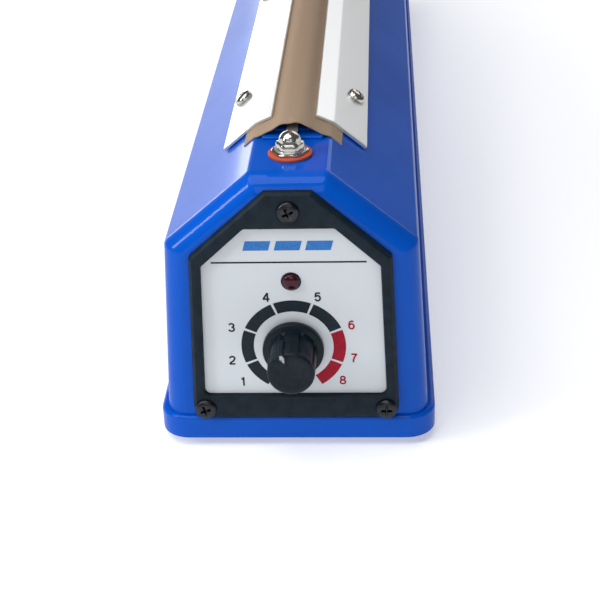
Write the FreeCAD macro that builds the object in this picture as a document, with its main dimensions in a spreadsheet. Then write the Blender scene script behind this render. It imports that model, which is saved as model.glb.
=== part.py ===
"""Impulse heat sealer: sheet-fed bag sealer with a sprung pressing arm.

Frame: millimetres, X to the right of someone facing the dial, Y from the dial
to the rear hinge, Z up.  The origin is on the standing surface, under the
middle of the housing.  The arm is modelled open, as the spring leaves it.
"""
import FreeCAD, Part
import math
import os

import Sketcher
from FreeCAD import Placement, Rotation, Vector

SIZES = {
    # housing
    "base_length": 450, "base_width": 85, "foot_height": 3, "flange_height": 7.5,
    "flange_corner": 9, "flange_round": 1.2, "end_setback": 1.6, "wall": 2.5,
    "skirt_width": 81.2, "shoulder_width": 74.4, "shoulder_height": 64.5,
    "deck_width": 22.8, "deck_height": 86.3, "end_round": 6.5, "edge_round": 2.2,
    "seal_centre": 190, "ridge_clear": 11, "ridge_step": 5,
    "ridge_lower_width": 18.4, "ridge_lower_rise": 0.9,
    "ridge_upper_width": 15.8, "ridge_upper_rise": 1.5,
    "plate_gap": 0.3, "plate_thick": 1.5, "boss_width": 9, "boss_height": 16,
    "boss_pitch": 196, "foot_width": 14, "foot_spread": 54, "foot_margin": 18,
    "plate_screw_width": 3, "plate_screw_head": 6,
    # front panel
    "bezel_thick": 2.6, "bezel_bevel": 1, "bezel_bottom": 7.6, "bezel_foot_width": 62.8,
    "bezel_shoulder": 62.5, "bezel_shoulder_width": 58.8, "bezel_top": 82.9,
    "bezel_top_width": 13.6, "bezel_corner": 4.5,
    "label_depth": 1.6, "label_thick": 0.4, "label_bottom": 15.9, "label_foot_width": 55.2,
    "label_shoulder": 59.5, "label_shoulder_width": 52.2, "label_top": 71.7,
    "label_top_width": 26, "label_corner": 2, "label_gap": 0.1,
    "dial_height": 32.4, "lamp_height": 54.3, "lamp_width": 5.2, "lamp_proud": 1.6,
    "panel_screw_top": 77.2, "panel_screw_low": 11.3, "panel_screw_spread": 55,
    "panel_screw_head": 6.6, "panel_screw_width": 3, "screw_gap": 0.1,
    # dial knob and timer
    "end_reach": 16, "knob_skirt_width": 18.2, "knob_grip_width": 14, "knob_skirt_thick": 2.4,
    "knob_lift": 0.9, "pointer_angle": 22.5,
    "shaft_width": 6, "shaft_gap": 0.05, "bush_width": 9, "bush_gap": 0.1,
    "pot_width": 24, "pot_depth": 10, "pot_nut_width": 11.6, "pot_nut_thick": 2,
    "board_width": 56, "board_height": 44, "board_thick": 1.6,
    # sealing line
    "bar_width": 10, "bar_rise": 3.6, "tape_thick": 0.15, "element_width": 3.4,
    "element_thick": 0.25, "cloth_clear": 12.5, "cloth_thick": 0.3, "cloth_reach": 29,
    "cloth_arch": 4.6, "clamp_inset": 9.5, "clamp_thick": 1, "clamp_gap": 0.05,
    "clamp_outer_width": 44.2, "clamp_inner_width": 12.6,
    "clamp_screw_place": 17.3, "clamp_screw_margin": 33.5, "clamp_screw_head": 6.4,
    "clamp_screw_width": 3,
    "terminal_spacing": 342, "fibre_width": 13, "fibre_thick": 1, "contact_width": 11,
    "contact_thick": 0.9, "cap_nut_width": 8.4, "cap_nut_height": 6.2, "stud_width": 4,
    "stud_gap": 0.15,
    # hinge and arm
    "pivot_back": 218, "pivot_rise": 21.7, "open_angle": 16, "close_gap": 0.3,
    "bracket_width": 20, "bracket_thick": 2, "bracket_length": 42, "ear_radius": 6.5,
    "ear_length": 16,
    "pin_width": 6, "pin_gap": 0.05, "pin_length": 29, "bush_wall": 1.2, "bush_flange": 0.8,
    "channel_width": 24, "channel_thick": 1.5, "channel_rise": 16.5, "channel_front": 12,
    "strip_width": 11.2, "strip_proud": 2, "holder_width": 16, "holder_thick": 1.2,
    "holder_height": 5.4, "holder_gap": 0.2, "holder_clear": 14, "web_clear": 14,
    "cover_width": 34, "cover_thick": 1.8, "cover_gap": 0.3, "cover_tail": 16,
    "grip_width": 33, "grip_length": 62, "grip_rise": 6, "grip_nose": 6, "grip_gap": 0.2,
    "arm_screw_width": 3, "arm_screw_head": 5.6,
    "spring_width": 10, "spring_wire": 1.3, "spring_place": 22, "spring_turns": 4,
    "seat_thick": 1.2, "seat_wall": 1.2,
    "striker_width": 6, "plunger_place": 34, "plunger_width": 5, "plunger_gap": 0.1,
    "plunger_travel": 2.5, "plunger_proud": 6, "plunger_length": 34,
    # drive electrics and rear panel
    "core_width": 57, "core_depth": 22, "core_height": 48, "core_place": 40,
    "core_leg": 19, "core_yoke": 9.5, "coil_gap": 0.4, "strap_thick": 1.2, "strap_depth": 14,
    "strap_clear": 0.6, "lead_drop": 21.8,
    "gland_width": 15, "gland_bore": 7.5, "fuse_width": 12,
    "cap_width": 16, "rear_spread": 32, "rear_height": 26, "lead_width": 2.6,
}

doc = FreeCAD.newDocument("impulse_heat_sealer")
sheet = doc.addObject("Spreadsheet::Sheet", "sizes")


class Size:
    """A number that remembers the sheet expression it was worked out from."""

    def __init__(self, number, text):
        self.number = float(number)
        self.text = text

    def __add__(self, other):
        return Size(self.number + number(other), f"({self.text} + {text(other)})")

    def __sub__(self, other):
        return Size(self.number - number(other), f"({self.text} - {text(other)})")

    def __mul__(self, other):
        return Size(self.number * number(other), f"({self.text} * {text(other)})")

    def __truediv__(self, other):
        return Size(self.number / number(other), f"({self.text} / {text(other)})")

    def __rsub__(self, other):
        return Size(number(other) - self.number, f"({text(other)} - {self.text})")

    def __neg__(self):
        return Size(-self.number, f"(-1 * {self.text})")

    __radd__ = __add__
    __rmul__ = __mul__


def number(item):
    """Return the plain number behind a Size or a number."""
    return item.number if isinstance(item, Size) else float(item)


def text(item):
    """Return the expression text behind a Size or a number."""
    return item.text if isinstance(item, Size) else f"{float(item):.6f}"


def root(item):
    """Return the square root of a Size."""
    return Size(math.sqrt(number(item)), f"sqrt({text(item)})")


def slant(rise, run):
    """Return the angle of a slope in degrees."""
    ratio = rise / run
    return Size(math.degrees(math.atan(ratio.number)), f"atan({ratio.text})")


def sine(angle):
    """Return the sine of an angle given in degrees."""
    return Size(math.sin(math.radians(angle.number)), f"sin({angle.text})")


def cosine(angle):
    """Return the cosine of an angle given in degrees."""
    return Size(math.cos(math.radians(angle.number)), f"cos({angle.text})")


class Sheet:
    """Gives each cell of the sheet as a Size, by its alias."""

    def __getattr__(self, alias):
        return Size(SIZES[alias], f"sizes.{alias}")


def fill_sheet():
    """Write every driving dimension into the spreadsheet."""
    for row, (alias, size) in enumerate(SIZES.items(), start=1):
        sheet.set(f"A{row}", alias)
        sheet.set(f"B{row}", str(size))
        sheet.setAlias(f"B{row}", alias)
    doc.recompute()


fill_sheet()
S = Sheet()
NODES = []

# Heights and stations that several pieces share.
FRONT = -(S.base_length / 2)
REAR = S.base_length / 2
BED = S.foot_height
DECK = BED + S.deck_height
FACE = FRONT + S.end_setback
PANEL = FACE - S.bezel_thick
LABEL_FACE = PANEL + S.label_depth
DIAL = BED + S.dial_height
SEAL_MIDDLE = FRONT + S.seal_centre
RIDGE_TOP = DECK + S.ridge_upper_rise
RIDGE_LENGTH = S.terminal_spacing - S.ridge_clear * 2
CLOTH_LENGTH = S.terminal_spacing - S.cloth_clear * 2
CLAMP_LENGTH = CLOTH_LENGTH - S.clamp_inset * 2
HOLDER_LENGTH = S.terminal_spacing - S.holder_clear * 2
CLOTH_TOP = DECK + S.cloth_arch + S.cloth_thick
STRIP_BOTTOM = CLOTH_TOP + S.close_gap
WEB = STRIP_BOTTOM + S.strip_proud + S.holder_height
PIVOT_Y = REAR - (S.base_length - S.pivot_back - S.seal_centre)
PIVOT_Z = DECK + S.pivot_rise


# ---- drawing helpers ----------------------------------------------------------------

def bind(thing, prop, size):
    """Bind one property of an object to the sheet."""
    if isinstance(size, Size):
        thing.setExpression(prop, size.text)
    else:
        setattr(thing, prop, size)


def place(thing, x=0, y=0, z=0, axis=None, angle=0):
    """Put an object at a place, turned about an axis by an angle in degrees."""
    if axis is not None:
        thing.Placement = Placement(Vector(), Rotation(Vector(*axis), number(angle)))
        if isinstance(angle, Size):
            thing.setExpression("Placement.Rotation.Angle", angle.text)
    for letter, size in zip("xyz", (x, y, z)):
        thing.setExpression(f"Placement.Base.{letter}", text(size))
    return thing


def node(thing, name):
    """Mark an object as a sub-part of the assembly, with its own label."""
    thing.Label = name
    NODES.append(thing)
    return thing


class Piece:
    """A PartDesign body with short calls for the features used here."""

    PLANES = {"XY": "XY_Plane", "XZ": "XZ_Plane", "YZ": "YZ_Plane"}

    def __init__(self, name, is_node=True):
        self.body = doc.addObject("PartDesign::Body", name)
        if is_node:
            node(self.body, name)

    def _sketch(self, plane, start):
        sketch = self.body.newObject("Sketcher::SketchObject", "outline")
        role = self.PLANES[plane]
        origin = [f for f in self.body.Origin.OriginFeatures if f.Role == role][0]
        sketch.AttachmentSupport = [(origin, "")]
        sketch.MapMode = "FlatFace"
        offset = -start if plane == "XZ" else start
        sketch.setExpression("AttachmentOffset.Base.z", text(offset))
        return sketch

    def tilt(self, sketch, x, angle):
        """Move a level sketch sideways and turn it about Y."""
        sketch.AttachmentOffset = Placement(Vector(), Rotation(Vector(0, 1, 0), number(angle)))
        sketch.setExpression("AttachmentOffset.Base.x", text(x))
        sketch.setExpression("AttachmentOffset.Rotation.Angle", angle.text)
        return sketch

    def _pin(self, sketch, geometry, point, xy):
        for kind, size in zip(("DistanceX", "DistanceY"), xy):
            here = Sketcher.Constraint(kind, -1, 1, geometry, point, number(size))
            index = sketch.addConstraint(here)
            if isinstance(size, Size):
                sketch.setExpression(f"Constraints[{index}]", size.text)

    def polygon(self, plane, points, start=0):
        """Sketch one closed outline through points."""
        sketch = self._sketch(plane, start)
        flat = [Vector(number(x), number(y), 0) for x, y in points]
        count = len(flat)
        for i in range(count):
            sketch.addGeometry(Part.LineSegment(flat[i], flat[(i + 1) % count]), False)
        for i in range(count):
            after = (i + 1) % count
            sketch.addConstraint(Sketcher.Constraint("Coincident", i, 2, after, 1))
            self._pin(sketch, i, 1, points[i])
        return sketch

    def circles(self, plane, centres, width, start=0):
        """Sketch circles of one width round several centres."""
        sketch = self._sketch(plane, start)
        for i, (x, y) in enumerate(centres):
            centre = Vector(number(x), number(y), 0)
            sketch.addGeometry(Part.Circle(centre, Vector(0, 0, 1), number(width) / 2), False)
            index = sketch.addConstraint(Sketcher.Constraint("Diameter", i, number(width)))
            if isinstance(width, Size):
                sketch.setExpression(f"Constraints[{index}]", width.text)
            self._pin(sketch, i, 3, (x, y))
        return sketch

    def _finish(self, feature):
        doc.recompute()
        if "Invalid" in feature.State or "Error" in feature.State:
            raise RuntimeError(f"{self.body.Name}: {feature.Name} {feature.State}")
        return feature

    def pad(self, sketch, length):
        """Extrude a sketch towards the positive side of its plane."""
        feature = self.body.newObject("PartDesign::Pad", "pad")
        feature.Profile = sketch
        feature.Reversed = "XZ" in sketch.AttachmentSupport[0][0].Name
        bind(feature, "Length", length)
        return self._finish(feature)

    def cut(self, sketch, length):
        """Cut a sketch away towards the positive side of its plane."""
        before = self.body.Shape.Volume
        feature = self.body.newObject("PartDesign::Pocket", "pocket")
        feature.Profile = sketch
        feature.Reversed = "XZ" not in sketch.AttachmentSupport[0][0].Name
        bind(feature, "Length", length)
        self._finish(feature)
        if feature.Shape.Volume > before - 1e-6:
            raise RuntimeError(f"{self.body.Name}: {feature.Name} cuts nothing")
        return feature

    def spin(self, sketch, axis="V_Axis"):
        """Turn a sketch once round one of its own axes."""
        feature = self.body.newObject("PartDesign::Revolution", "turned")
        feature.Profile = sketch
        feature.ReferenceAxis = (sketch, [axis])
        feature.Angle = 360
        return self._finish(feature)

    def repeat(self, feature, sketch, count):
        """Repeat a feature round the axis square to its sketch."""
        pattern = self.body.newObject("PartDesign::PolarPattern", "around")
        pattern.Originals = [feature]
        pattern.Axis = (sketch, ["N_Axis"])
        pattern.Angle = 360
        pattern.Occurrences = count
        self.body.Tip = pattern
        return self._finish(pattern)

    def _edges(self, test):
        shape = self.body.Tip.Shape
        return [f"Edge{i}" for i, edge in enumerate(shape.Edges, start=1) if test(edge)]

    def soften(self, size, test, bevel=False):
        """Round or bevel the edges that a test picks."""
        base = self.body.Tip
        names = self._edges(test)
        if not names:
            raise RuntimeError(f"{self.body.Name}: no edge to soften")
        kind = "Chamfer" if bevel else "Fillet"
        feature = self.body.newObject(f"PartDesign::{kind}", kind.lower())
        feature.Base = (base, names)
        bind(feature, "Size" if bevel else "Radius", size)
        return self._finish(feature)


def box(name, centre, lengths):
    """Make a Part::Box node from its bottom centre and its three lengths."""
    block = node(doc.addObject("Part::Box", name), name)
    for prop, size in zip(("Length", "Width", "Height"), lengths):
        bind(block, prop, size)
    place(block, centre[0] - lengths[0] / 2, centre[1] - lengths[1] / 2, centre[2])
    return block


def tube_path(points, bend):
    """Join points by straight runs with an arc of one radius at each corner."""
    edges = []
    here = points[0]
    for corner, after in zip(points[1:-1], points[2:]):
        come = (corner - here).normalize()
        leave = (after - corner).normalize()
        half = math.acos(max(-1, min(1, come.dot(leave)))) / 2
        back = bend * math.tan(half)
        start = corner - come * back
        end = corner + leave * back
        middle = corner + (leave - come).normalize() * (bend / math.cos(half) - bend)
        edges.append(Part.LineSegment(here, start).toShape())
        edges.append(Part.Arc(start, middle, end).toShape())
        here = end
    edges.append(Part.LineSegment(here, points[-1]).toShape())
    return Part.Wire(edges)


def lead(name, points, width, bend):
    """Make a round insulated lead along a route of straight runs and arcs."""
    route = tube_path([Vector(*[number(c) for c in p]) for p in points], number(bend))
    first = route.Edges[0]
    along = first.tangentAt(first.FirstParameter)
    section = Part.Wire(Part.Circle(route.Vertexes[0].Point, along, number(width) / 2).toShape())
    wire = node(doc.addObject("Part::Feature", name), name)
    wire.Shape = route.makePipeShell([section], True, True)
    return wire


def coil(name, radius, rise, turns, width, facets=14):
    """Make a coil spring from short straight lengths of round wire."""
    steps = round(number(turns) * facets)
    turn = 2 * math.pi / facets
    points = [Vector(number(radius) * math.cos(turn * k), number(radius) * math.sin(turn * k),
                     number(rise) * k / steps) for k in range(steps + 1)]
    section = Part.Wire(Part.Circle(points[0], points[1] - points[0], number(width) / 2).toShape())
    wire = node(doc.addObject("Part::Feature", name), name)
    wire.Shape = Part.makePolygon(points).makePipeShell([section], True, False, 1)
    return wire


def lengthwise(above):
    """Test for the long edges above one height."""
    def test(edge):
        box = edge.BoundBox
        return box.YLength > 50 and box.YLength > box.XLength and box.ZMin > number(above)
    return test


def upright(edge):
    """Test for straight vertical edges."""
    ends = [v.Point for v in edge.Vertexes]
    return len(ends) == 2 and math.hypot(ends[0].x - ends[1].x, ends[0].y - ends[1].y) < 0.01


def at_plane(letter, size):
    """Test for edges that lie wholly in one plane square to an axis."""
    def test(edge):
        low = getattr(edge.BoundBox, letter + "Min")
        high = getattr(edge.BoundBox, letter + "Max")
        return abs(low - number(size)) < 0.01 and abs(high - number(size)) < 0.01
    return test


def mirrored(half):
    """Complete an outline from its right half, listed from bottom to top."""
    return half + [(-x, y) for x, y in reversed(half)]


# ---- fasteners ----------------------------------------------------------------------

def screw(name, head_width, head_rise, shank_width, shank_length, cross=True):
    """Make a pan-head cross-recess screw, head up, seat at its origin."""
    piece = Piece(name, is_node=False)
    head = head_width / 2
    shank = shank_width / 2
    profile = [(0, -shank_length), (shank * 0.6, -shank_length),
               (shank, -shank_length + shank * 0.8), (shank, 0), (head, 0),
               (head, head_rise * 0.45), (head * 0.8, head_rise * 0.88),
               (head * 0.45, head_rise), (0, head_rise)]
    piece.spin(piece.polygon("XZ", profile))
    if cross:
        long = head * 0.55
        slim = head * 0.13
        for a, b in ((long, slim), (slim, long)):
            outline = [(-a, -b), (a, -b), (a, b), (-a, b)]
            piece.cut(piece.polygon("XY", outline, head_rise * 0.4), head_rise)
    return piece.body


def group(name, master, places):
    """Make one node of copies of a piece: each place is x, y, z, axis, angle."""
    copies = []
    for i, spot in enumerate(places):
        copy = doc.addObject("App::Link", f"{name}_{i + 1}")
        copy.LinkedObject = master
        place(copy, *spot)
        copies.append(copy)
    joined = node(doc.addObject("Part::Compound", name), name)
    joined.Links = copies
    return joined


def hex_points(width):
    """Corners of a hexagon of one width across flats."""
    corner = width / math.sqrt(3)
    turns = [math.radians(60 * k) for k in range(6)]
    return [(corner * math.cos(a), corner * math.sin(a)) for a in turns]


# ---- housing ------------------------------------------------------------------------

INNER_FOOT = S.skirt_width / 2 - S.wall
BOSS_X = INNER_FOOT - S.boss_width / 2 + 1.5
SLOPE_RUN = (S.shoulder_width - S.deck_width) / 2
SLOPE_RISE = S.deck_height - S.shoulder_height
SLOPE = SLOPE_RISE / SLOPE_RUN
SLOPE_ANGLE = slant(SLOPE_RISE, SLOPE_RUN)
SLOPE_LIFT = root(SLOPE * SLOPE + 1)
TERMINALS = [SEAL_MIDDLE - S.terminal_spacing / 2, SEAL_MIDDLE + S.terminal_spacing / 2]
CLAMP_PITCH = CLAMP_LENGTH / 2 - S.clamp_screw_margin
CLAMP_SCREWS = [SEAL_MIDDLE + CLAMP_PITCH * k for k in (-1, 0, 1)]
PLUNGER_Y = PIVOT_Y - S.plunger_place
SPRING_Y = PIVOT_Y - S.spring_place
BRACKET_SCREWS = [PIVOT_Y - 13.5, PIVOT_Y + 6]
PANEL_SCREWS = [(0 * S.wall, BED + S.panel_screw_top),
                (S.panel_screw_spread / 2, BED + S.panel_screw_low),
                (-(S.panel_screw_spread / 2), BED + S.panel_screw_low)]
PLATE_SCREWS = [(side * BOSS_X, row * S.boss_pitch) for side in (-1, 1) for row in (-1, 0, 1)]


def on_slope(x, lift):
    """Return the outline point that far above the housing's slope."""
    return (x, DECK - (x - S.deck_width / 2) * SLOPE + lift * SLOPE_LIFT)


def body_shell():
    """Hollow housing with its foot flange, ridge, screw bosses and holes."""
    shell = Piece("body_shell")
    outer = mirrored([(S.skirt_width / 2, BED + 1),
                      (S.shoulder_width / 2, BED + S.shoulder_height),
                      (S.deck_width / 2, DECK)])
    shell.pad(shell.polygon("XZ", outer, FACE), S.base_length - S.end_setback * 2)
    shell.soften(S.edge_round, lengthwise(BED + S.flange_height))

    def end_edge(edge):
        high = edge.BoundBox.ZMax > number(BED) + 2
        return high and (at_plane("Y", FACE)(edge) or at_plane("Y", -FACE)(edge))
    shell.soften(S.end_round, end_edge)
    flange = mirrored([(S.base_width / 2, FRONT), (S.base_width / 2, REAR)])
    shell.pad(shell.polygon("XY", flange, BED), S.flange_height)
    reach = number(S.base_width) / 2 - 0.01

    def flange_corner(edge):
        return upright(edge) and abs(edge.BoundBox.XMin) > reach
    shell.soften(S.flange_corner, flange_corner)

    def flange_rim(edge):
        box = edge.BoundBox
        outside = max(abs(box.XMin), abs(box.XMax)) > reach
        outside = outside or max(abs(box.YMin), abs(box.YMax)) > number(REAR) - 0.01
        return at_plane("Z", BED + S.flange_height)(edge) and outside
    shell.soften(S.flange_round, flange_rim)
    ridges = ((S.ridge_lower_width, S.ridge_lower_rise, RIDGE_LENGTH),
              (S.ridge_upper_width, S.ridge_upper_rise, RIDGE_LENGTH - S.ridge_step * 2))
    for width, rise, length in ridges:
        outline = mirrored([(width / 2, DECK - 1), (width / 2, DECK + rise)])
        shell.pad(shell.polygon("XZ", outline, SEAL_MIDDLE - length / 2), length)
    inner = mirrored([(INNER_FOOT, BED - 1),
                      (S.shoulder_width / 2 - S.wall, BED + S.shoulder_height - S.wall / 2),
                      (S.deck_width / 2 - S.wall / 2, DECK - S.wall)])
    depth = S.base_length - (S.end_setback + S.wall) * 2
    shell.cut(shell.polygon("XZ", inner, FACE + S.wall), depth)
    shell.pad(shell.circles("XY", PLATE_SCREWS, S.boss_width, BED + S.plate_thick), S.boss_height)
    shell.cut(shell.circles("XY", PLATE_SCREWS, S.plate_screw_width + S.screw_gap * 2,
                            BED + S.plate_thick), 12)
    shell.cut(shell.circles("XZ", [(0, DIAL)], S.bush_width + S.bush_gap * 2, FACE), S.wall)
    shell.cut(shell.circles("XZ", [(0, BED + S.lamp_height)], S.lamp_width + S.screw_gap * 2,
                            FACE), S.wall)
    shell.cut(shell.circles("XZ", PANEL_SCREWS, S.panel_screw_width + S.screw_gap * 2, FACE),
              S.wall + 1)
    stud_hole = S.stud_width + S.stud_gap * 2
    under = DECK - S.wall - 1
    shell.cut(shell.circles("XY", [(0, y) for y in TERMINALS], stud_hole, under), S.wall + 3)
    shell.cut(shell.circles("XY", [(0, PLUNGER_Y)], S.plunger_width + S.plunger_gap * 2, under),
              S.wall + 3)
    hinge_holes = [(side * 4.5, y) for side in (-1, 1) for y in BRACKET_SCREWS]
    shell.cut(shell.circles("XY", hinge_holes, S.plate_screw_width + S.screw_gap * 2, under),
              S.wall + 3)
    for side in (1, -1):
        x = side * S.clamp_screw_place
        height = on_slope(S.clamp_screw_place, 0 * S.wall)[1]
        sketch = shell.circles("XY", [(0, y) for y in CLAMP_SCREWS],
                               S.clamp_screw_width + S.screw_gap * 2, height)
        shell.tilt(sketch, x, side * SLOPE_ANGLE)
        feature = shell.body.newObject("PartDesign::Pocket", "pocket")
        feature.Profile = sketch
        feature.Midplane = True
        bind(feature, "Length", S.wall * 4)
        shell._finish(feature)
    for x, width in ((-(S.rear_spread / 2), S.gland_width - 3), (S.rear_spread / 2, S.fuse_width)):
        hole = shell.circles("XZ", [(x, BED + S.rear_height)], width + S.screw_gap * 2,
                             -FACE - S.wall)
        shell.cut(hole, S.wall)


def base_plate():
    """Steel sheet that closes the housing from below."""
    plate = Piece("base_plate")
    half = INNER_FOOT - S.plate_gap
    length = S.base_length / 2 - S.end_setback - S.wall - S.plate_gap
    outline = [(-half, -length), (half, -length), (half, length), (-half, length)]
    plate.pad(plate.polygon("XY", outline, BED), S.plate_thick)
    plate.soften(3, upright)
    holes = S.plate_screw_width + S.screw_gap * 2
    plate.cut(plate.circles("XY", PLATE_SCREWS, holes, BED), S.plate_thick)
    plate.cut(plate.circles("XY", STRAP_SCREWS, holes, BED), S.plate_thick)
    plate.cut(plate.circles("XY", SWITCH_FOOT_SCREWS, holes, BED), S.plate_thick)


def housing_fasteners():
    """Screws that hold the base plate, and the four rubber feet."""
    pan = screw("plate_screw", S.plate_screw_head, 1.8, S.plate_screw_width, 11)
    group("base_plate_screws", pan, [(x, y, BED, (1, 0, 0), 180) for x, y in PLATE_SCREWS])
    foot = Piece("foot", is_node=False)
    half = S.foot_width / 2
    profile = [(0, 0.8), (half * 0.35, 0.8), (half * 0.35, 0), (half * 0.86, 0), (half, 0.8),
               (half * 0.92, S.foot_height), (0, S.foot_height)]
    foot.spin(foot.polygon("XZ", profile))
    stands = [(side * S.foot_spread / 2, end * (S.base_length / 2 - S.foot_margin), 0)
              for side in (-1, 1) for end in (-1, 1)]
    group("rubber_feet", foot.body, stands)


# ---- front panel --------------------------------------------------------------------

def panel_outline(bottom, foot_width, shoulder, shoulder_width, top, top_width, grow=0):
    """Return the coat-hanger outline of the bezel or the label."""
    return mirrored([(foot_width / 2 + grow, BED + bottom - grow),
                     (shoulder_width / 2 + grow, BED + shoulder + grow * 0.5),
                     (top_width / 2 + grow * 0.5, BED + top + grow)])


def label_outline(grow=0):
    """Return the label's outline, or the recess it lies in."""
    return panel_outline(S.label_bottom, S.label_foot_width, S.label_shoulder,
                         S.label_shoulder_width, S.label_top, S.label_top_width, grow)


def foot_corner(width, bottom):
    """Test for the two lower corners of a panel outline."""
    def test(edge):
        box = edge.BoundBox
        low = abs(box.ZMin - number(BED + bottom)) < 0.01 and box.ZLength < 0.01
        return low and abs(abs(box.XMin) - number(width) / 2) < 0.01 and box.XLength < 0.01
    return test


def front_bezel():
    """Black moulded frame round the label."""
    bezel = Piece("front_bezel")
    outline = panel_outline(S.bezel_bottom, S.bezel_foot_width, S.bezel_shoulder,
                            S.bezel_shoulder_width, S.bezel_top, S.bezel_top_width)
    bezel.pad(bezel.polygon("XZ", outline, PANEL), S.bezel_thick)
    bezel.soften(S.bezel_corner, foot_corner(S.bezel_foot_width, S.bezel_bottom))
    bezel.soften(S.bezel_bevel, at_plane("Y", PANEL), bevel=True)
    recess = S.label_depth + S.label_thick
    bezel.cut(bezel.polygon("XZ", label_outline(S.label_gap), PANEL), recess)
    corner = foot_corner(S.label_foot_width + S.label_gap * 2, S.label_bottom - S.label_gap)
    bezel.soften(S.label_corner, corner)
    for spots, width in (([(0, DIAL)], S.bush_width + S.bush_gap * 2),
                         ([(0, BED + S.lamp_height)], S.lamp_width + S.screw_gap * 2),
                         (PANEL_SCREWS, S.panel_screw_width + S.screw_gap * 2)):
        bezel.cut(bezel.circles("XZ", spots, width, PANEL), S.bezel_thick)
    plate = Piece("front_label")
    plate.pad(plate.polygon("XZ", label_outline(), LABEL_FACE), S.label_thick)
    plate.soften(S.label_corner, foot_corner(S.label_foot_width, S.label_bottom))
    plate.cut(plate.circles("XZ", [(0, DIAL)], S.bush_width + S.bush_gap * 2, LABEL_FACE),
              S.label_thick)
    plate.cut(plate.circles("XZ", [(0, BED + S.lamp_height)], S.lamp_width + S.screw_gap * 2,
                            LABEL_FACE), S.label_thick)
    pan = screw("panel_screw", S.panel_screw_head, 1.6, S.panel_screw_width, 7)
    group("bezel_screws", pan, [(x, PANEL, z, (1, 0, 0), 90) for x, z in PANEL_SCREWS])


def lamp():
    """Indicator lamp with its domed lens."""
    lens = Piece("lamp_lens")
    half = S.lamp_width / 2
    back = FACE + S.wall + 4 - LABEL_FACE
    nose = -S.lamp_proud
    profile = [(back, 0), (back, half), (nose * 0.3, half), (nose * 0.75, half * 0.72),
               (nose, half * 0.3), (nose, 0)]
    lens.spin(lens.polygon("YZ", profile), "H_Axis")
    place(lens.body, 0, LABEL_FACE, BED + S.lamp_height)


# ---- timer --------------------------------------------------------------------------

KNOB_FRONT = FRONT - S.end_reach - LABEL_FACE
KNOB_BACK = -S.knob_lift


def timer_knob():
    """Fluted dial knob with a skirt and a raised pointer."""
    knob = Piece("timer_knob")
    skirt = S.knob_skirt_width / 2
    grip = S.knob_grip_width / 2
    step = KNOB_BACK - S.knob_skirt_thick
    profile = [(KNOB_BACK, 0), (KNOB_BACK, skirt - 0.2), (KNOB_BACK - 0.3, skirt),
               (step + 0.4, skirt), (step, skirt - 0.4), (step - 0.3, grip + 0.2),
               (KNOB_FRONT + 0.8, grip - 0.2), (KNOB_FRONT, grip - 0.9), (KNOB_FRONT, 0)]
    knob.spin(knob.polygon("YZ", profile), "H_Axis")
    ring = grip - 0.1
    groove = knob.polygon("XZ", [(-0.55, ring + 0.9), (-0.2, ring - 0.6), (0.2, ring - 0.6),
                                 (0.55, ring + 0.9)], KNOB_FRONT)
    first = knob.cut(groove, -(KNOB_FRONT + S.knob_skirt_thick + S.knob_lift) - 0.2)
    knob.repeat(first, groove, 8)
    pointer = [(-0.6, 2.2), (0.6, 2.2), (0.6, grip + 0.5), (-0.6, grip + 0.5)]
    knob.pad(knob.polygon("XZ", pointer, KNOB_FRONT), 2.2)
    knob.cut(knob.circles("XZ", [(0, 0)], S.pot_nut_width / math.cos(math.pi / 6) + 0.8,
                          KNOB_BACK - 1.6), 1.6)
    knob.cut(knob.circles("XZ", [(0, 0)], S.shaft_width + S.shaft_gap * 2,
                          KNOB_BACK - 9), 9)
    place(knob.body, 0, LABEL_FACE, DIAL, (0, 1, 0), -S.pointer_angle)


def potentiometer():
    """Timer potentiometer with its shaft, threaded bush and nut."""
    inside = FACE + S.wall
    bush_end = LABEL_FACE - S.pot_nut_thick - 0.4
    pot = Piece("potentiometer")
    pot.pad(pot.circles("XZ", [(0, DIAL)], S.pot_width, inside), S.pot_depth)
    pot.pad(pot.circles("XZ", [(0, DIAL)], S.bush_width, bush_end), inside - bush_end + 1)
    pot.cut(pot.circles("XZ", [(0, DIAL)], S.shaft_width + S.shaft_gap * 2, bush_end),
            inside - bush_end + 3)
    shaft = Piece("pot_shaft")
    start = LABEL_FACE + KNOB_BACK - 8.6
    shaft.pad(shaft.circles("XZ", [(0, DIAL)], S.shaft_width, start), inside - start + 2)
    nut = Piece("pot_nut")
    nut.pad(nut.polygon("XZ", hex_points(S.pot_nut_width), -S.pot_nut_thick), S.pot_nut_thick)
    nut.cut(nut.circles("XZ", [(0, 0)], S.bush_width + S.bush_gap, -S.pot_nut_thick),
            S.pot_nut_thick)
    place(nut.body, 0, LABEL_FACE, DIAL)


def timer_board():
    """Timer circuit board and the larger parts on it."""
    front = FACE + S.wall + S.pot_depth
    back = front + S.board_thick
    low = DIAL - S.board_height / 2
    box("timer_board", (0, front + S.board_thick / 2, low),
        (S.board_width, S.board_thick, S.board_height))
    box("relay", (-14, back + 8, low + 20), (19, 16, 15))
    box("terminal_block", (10, back + 5, low + 2), (25, 10, 9))
    can = Piece("board_capacitors")
    spots = [(8, low + 24), (20, low + 24)]
    can.pad(can.circles("XZ", spots, 9, back), 13)
    can.soften(0.8, at_plane("Y", back + 13))


# ---- sealing line -------------------------------------------------------------------

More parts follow.
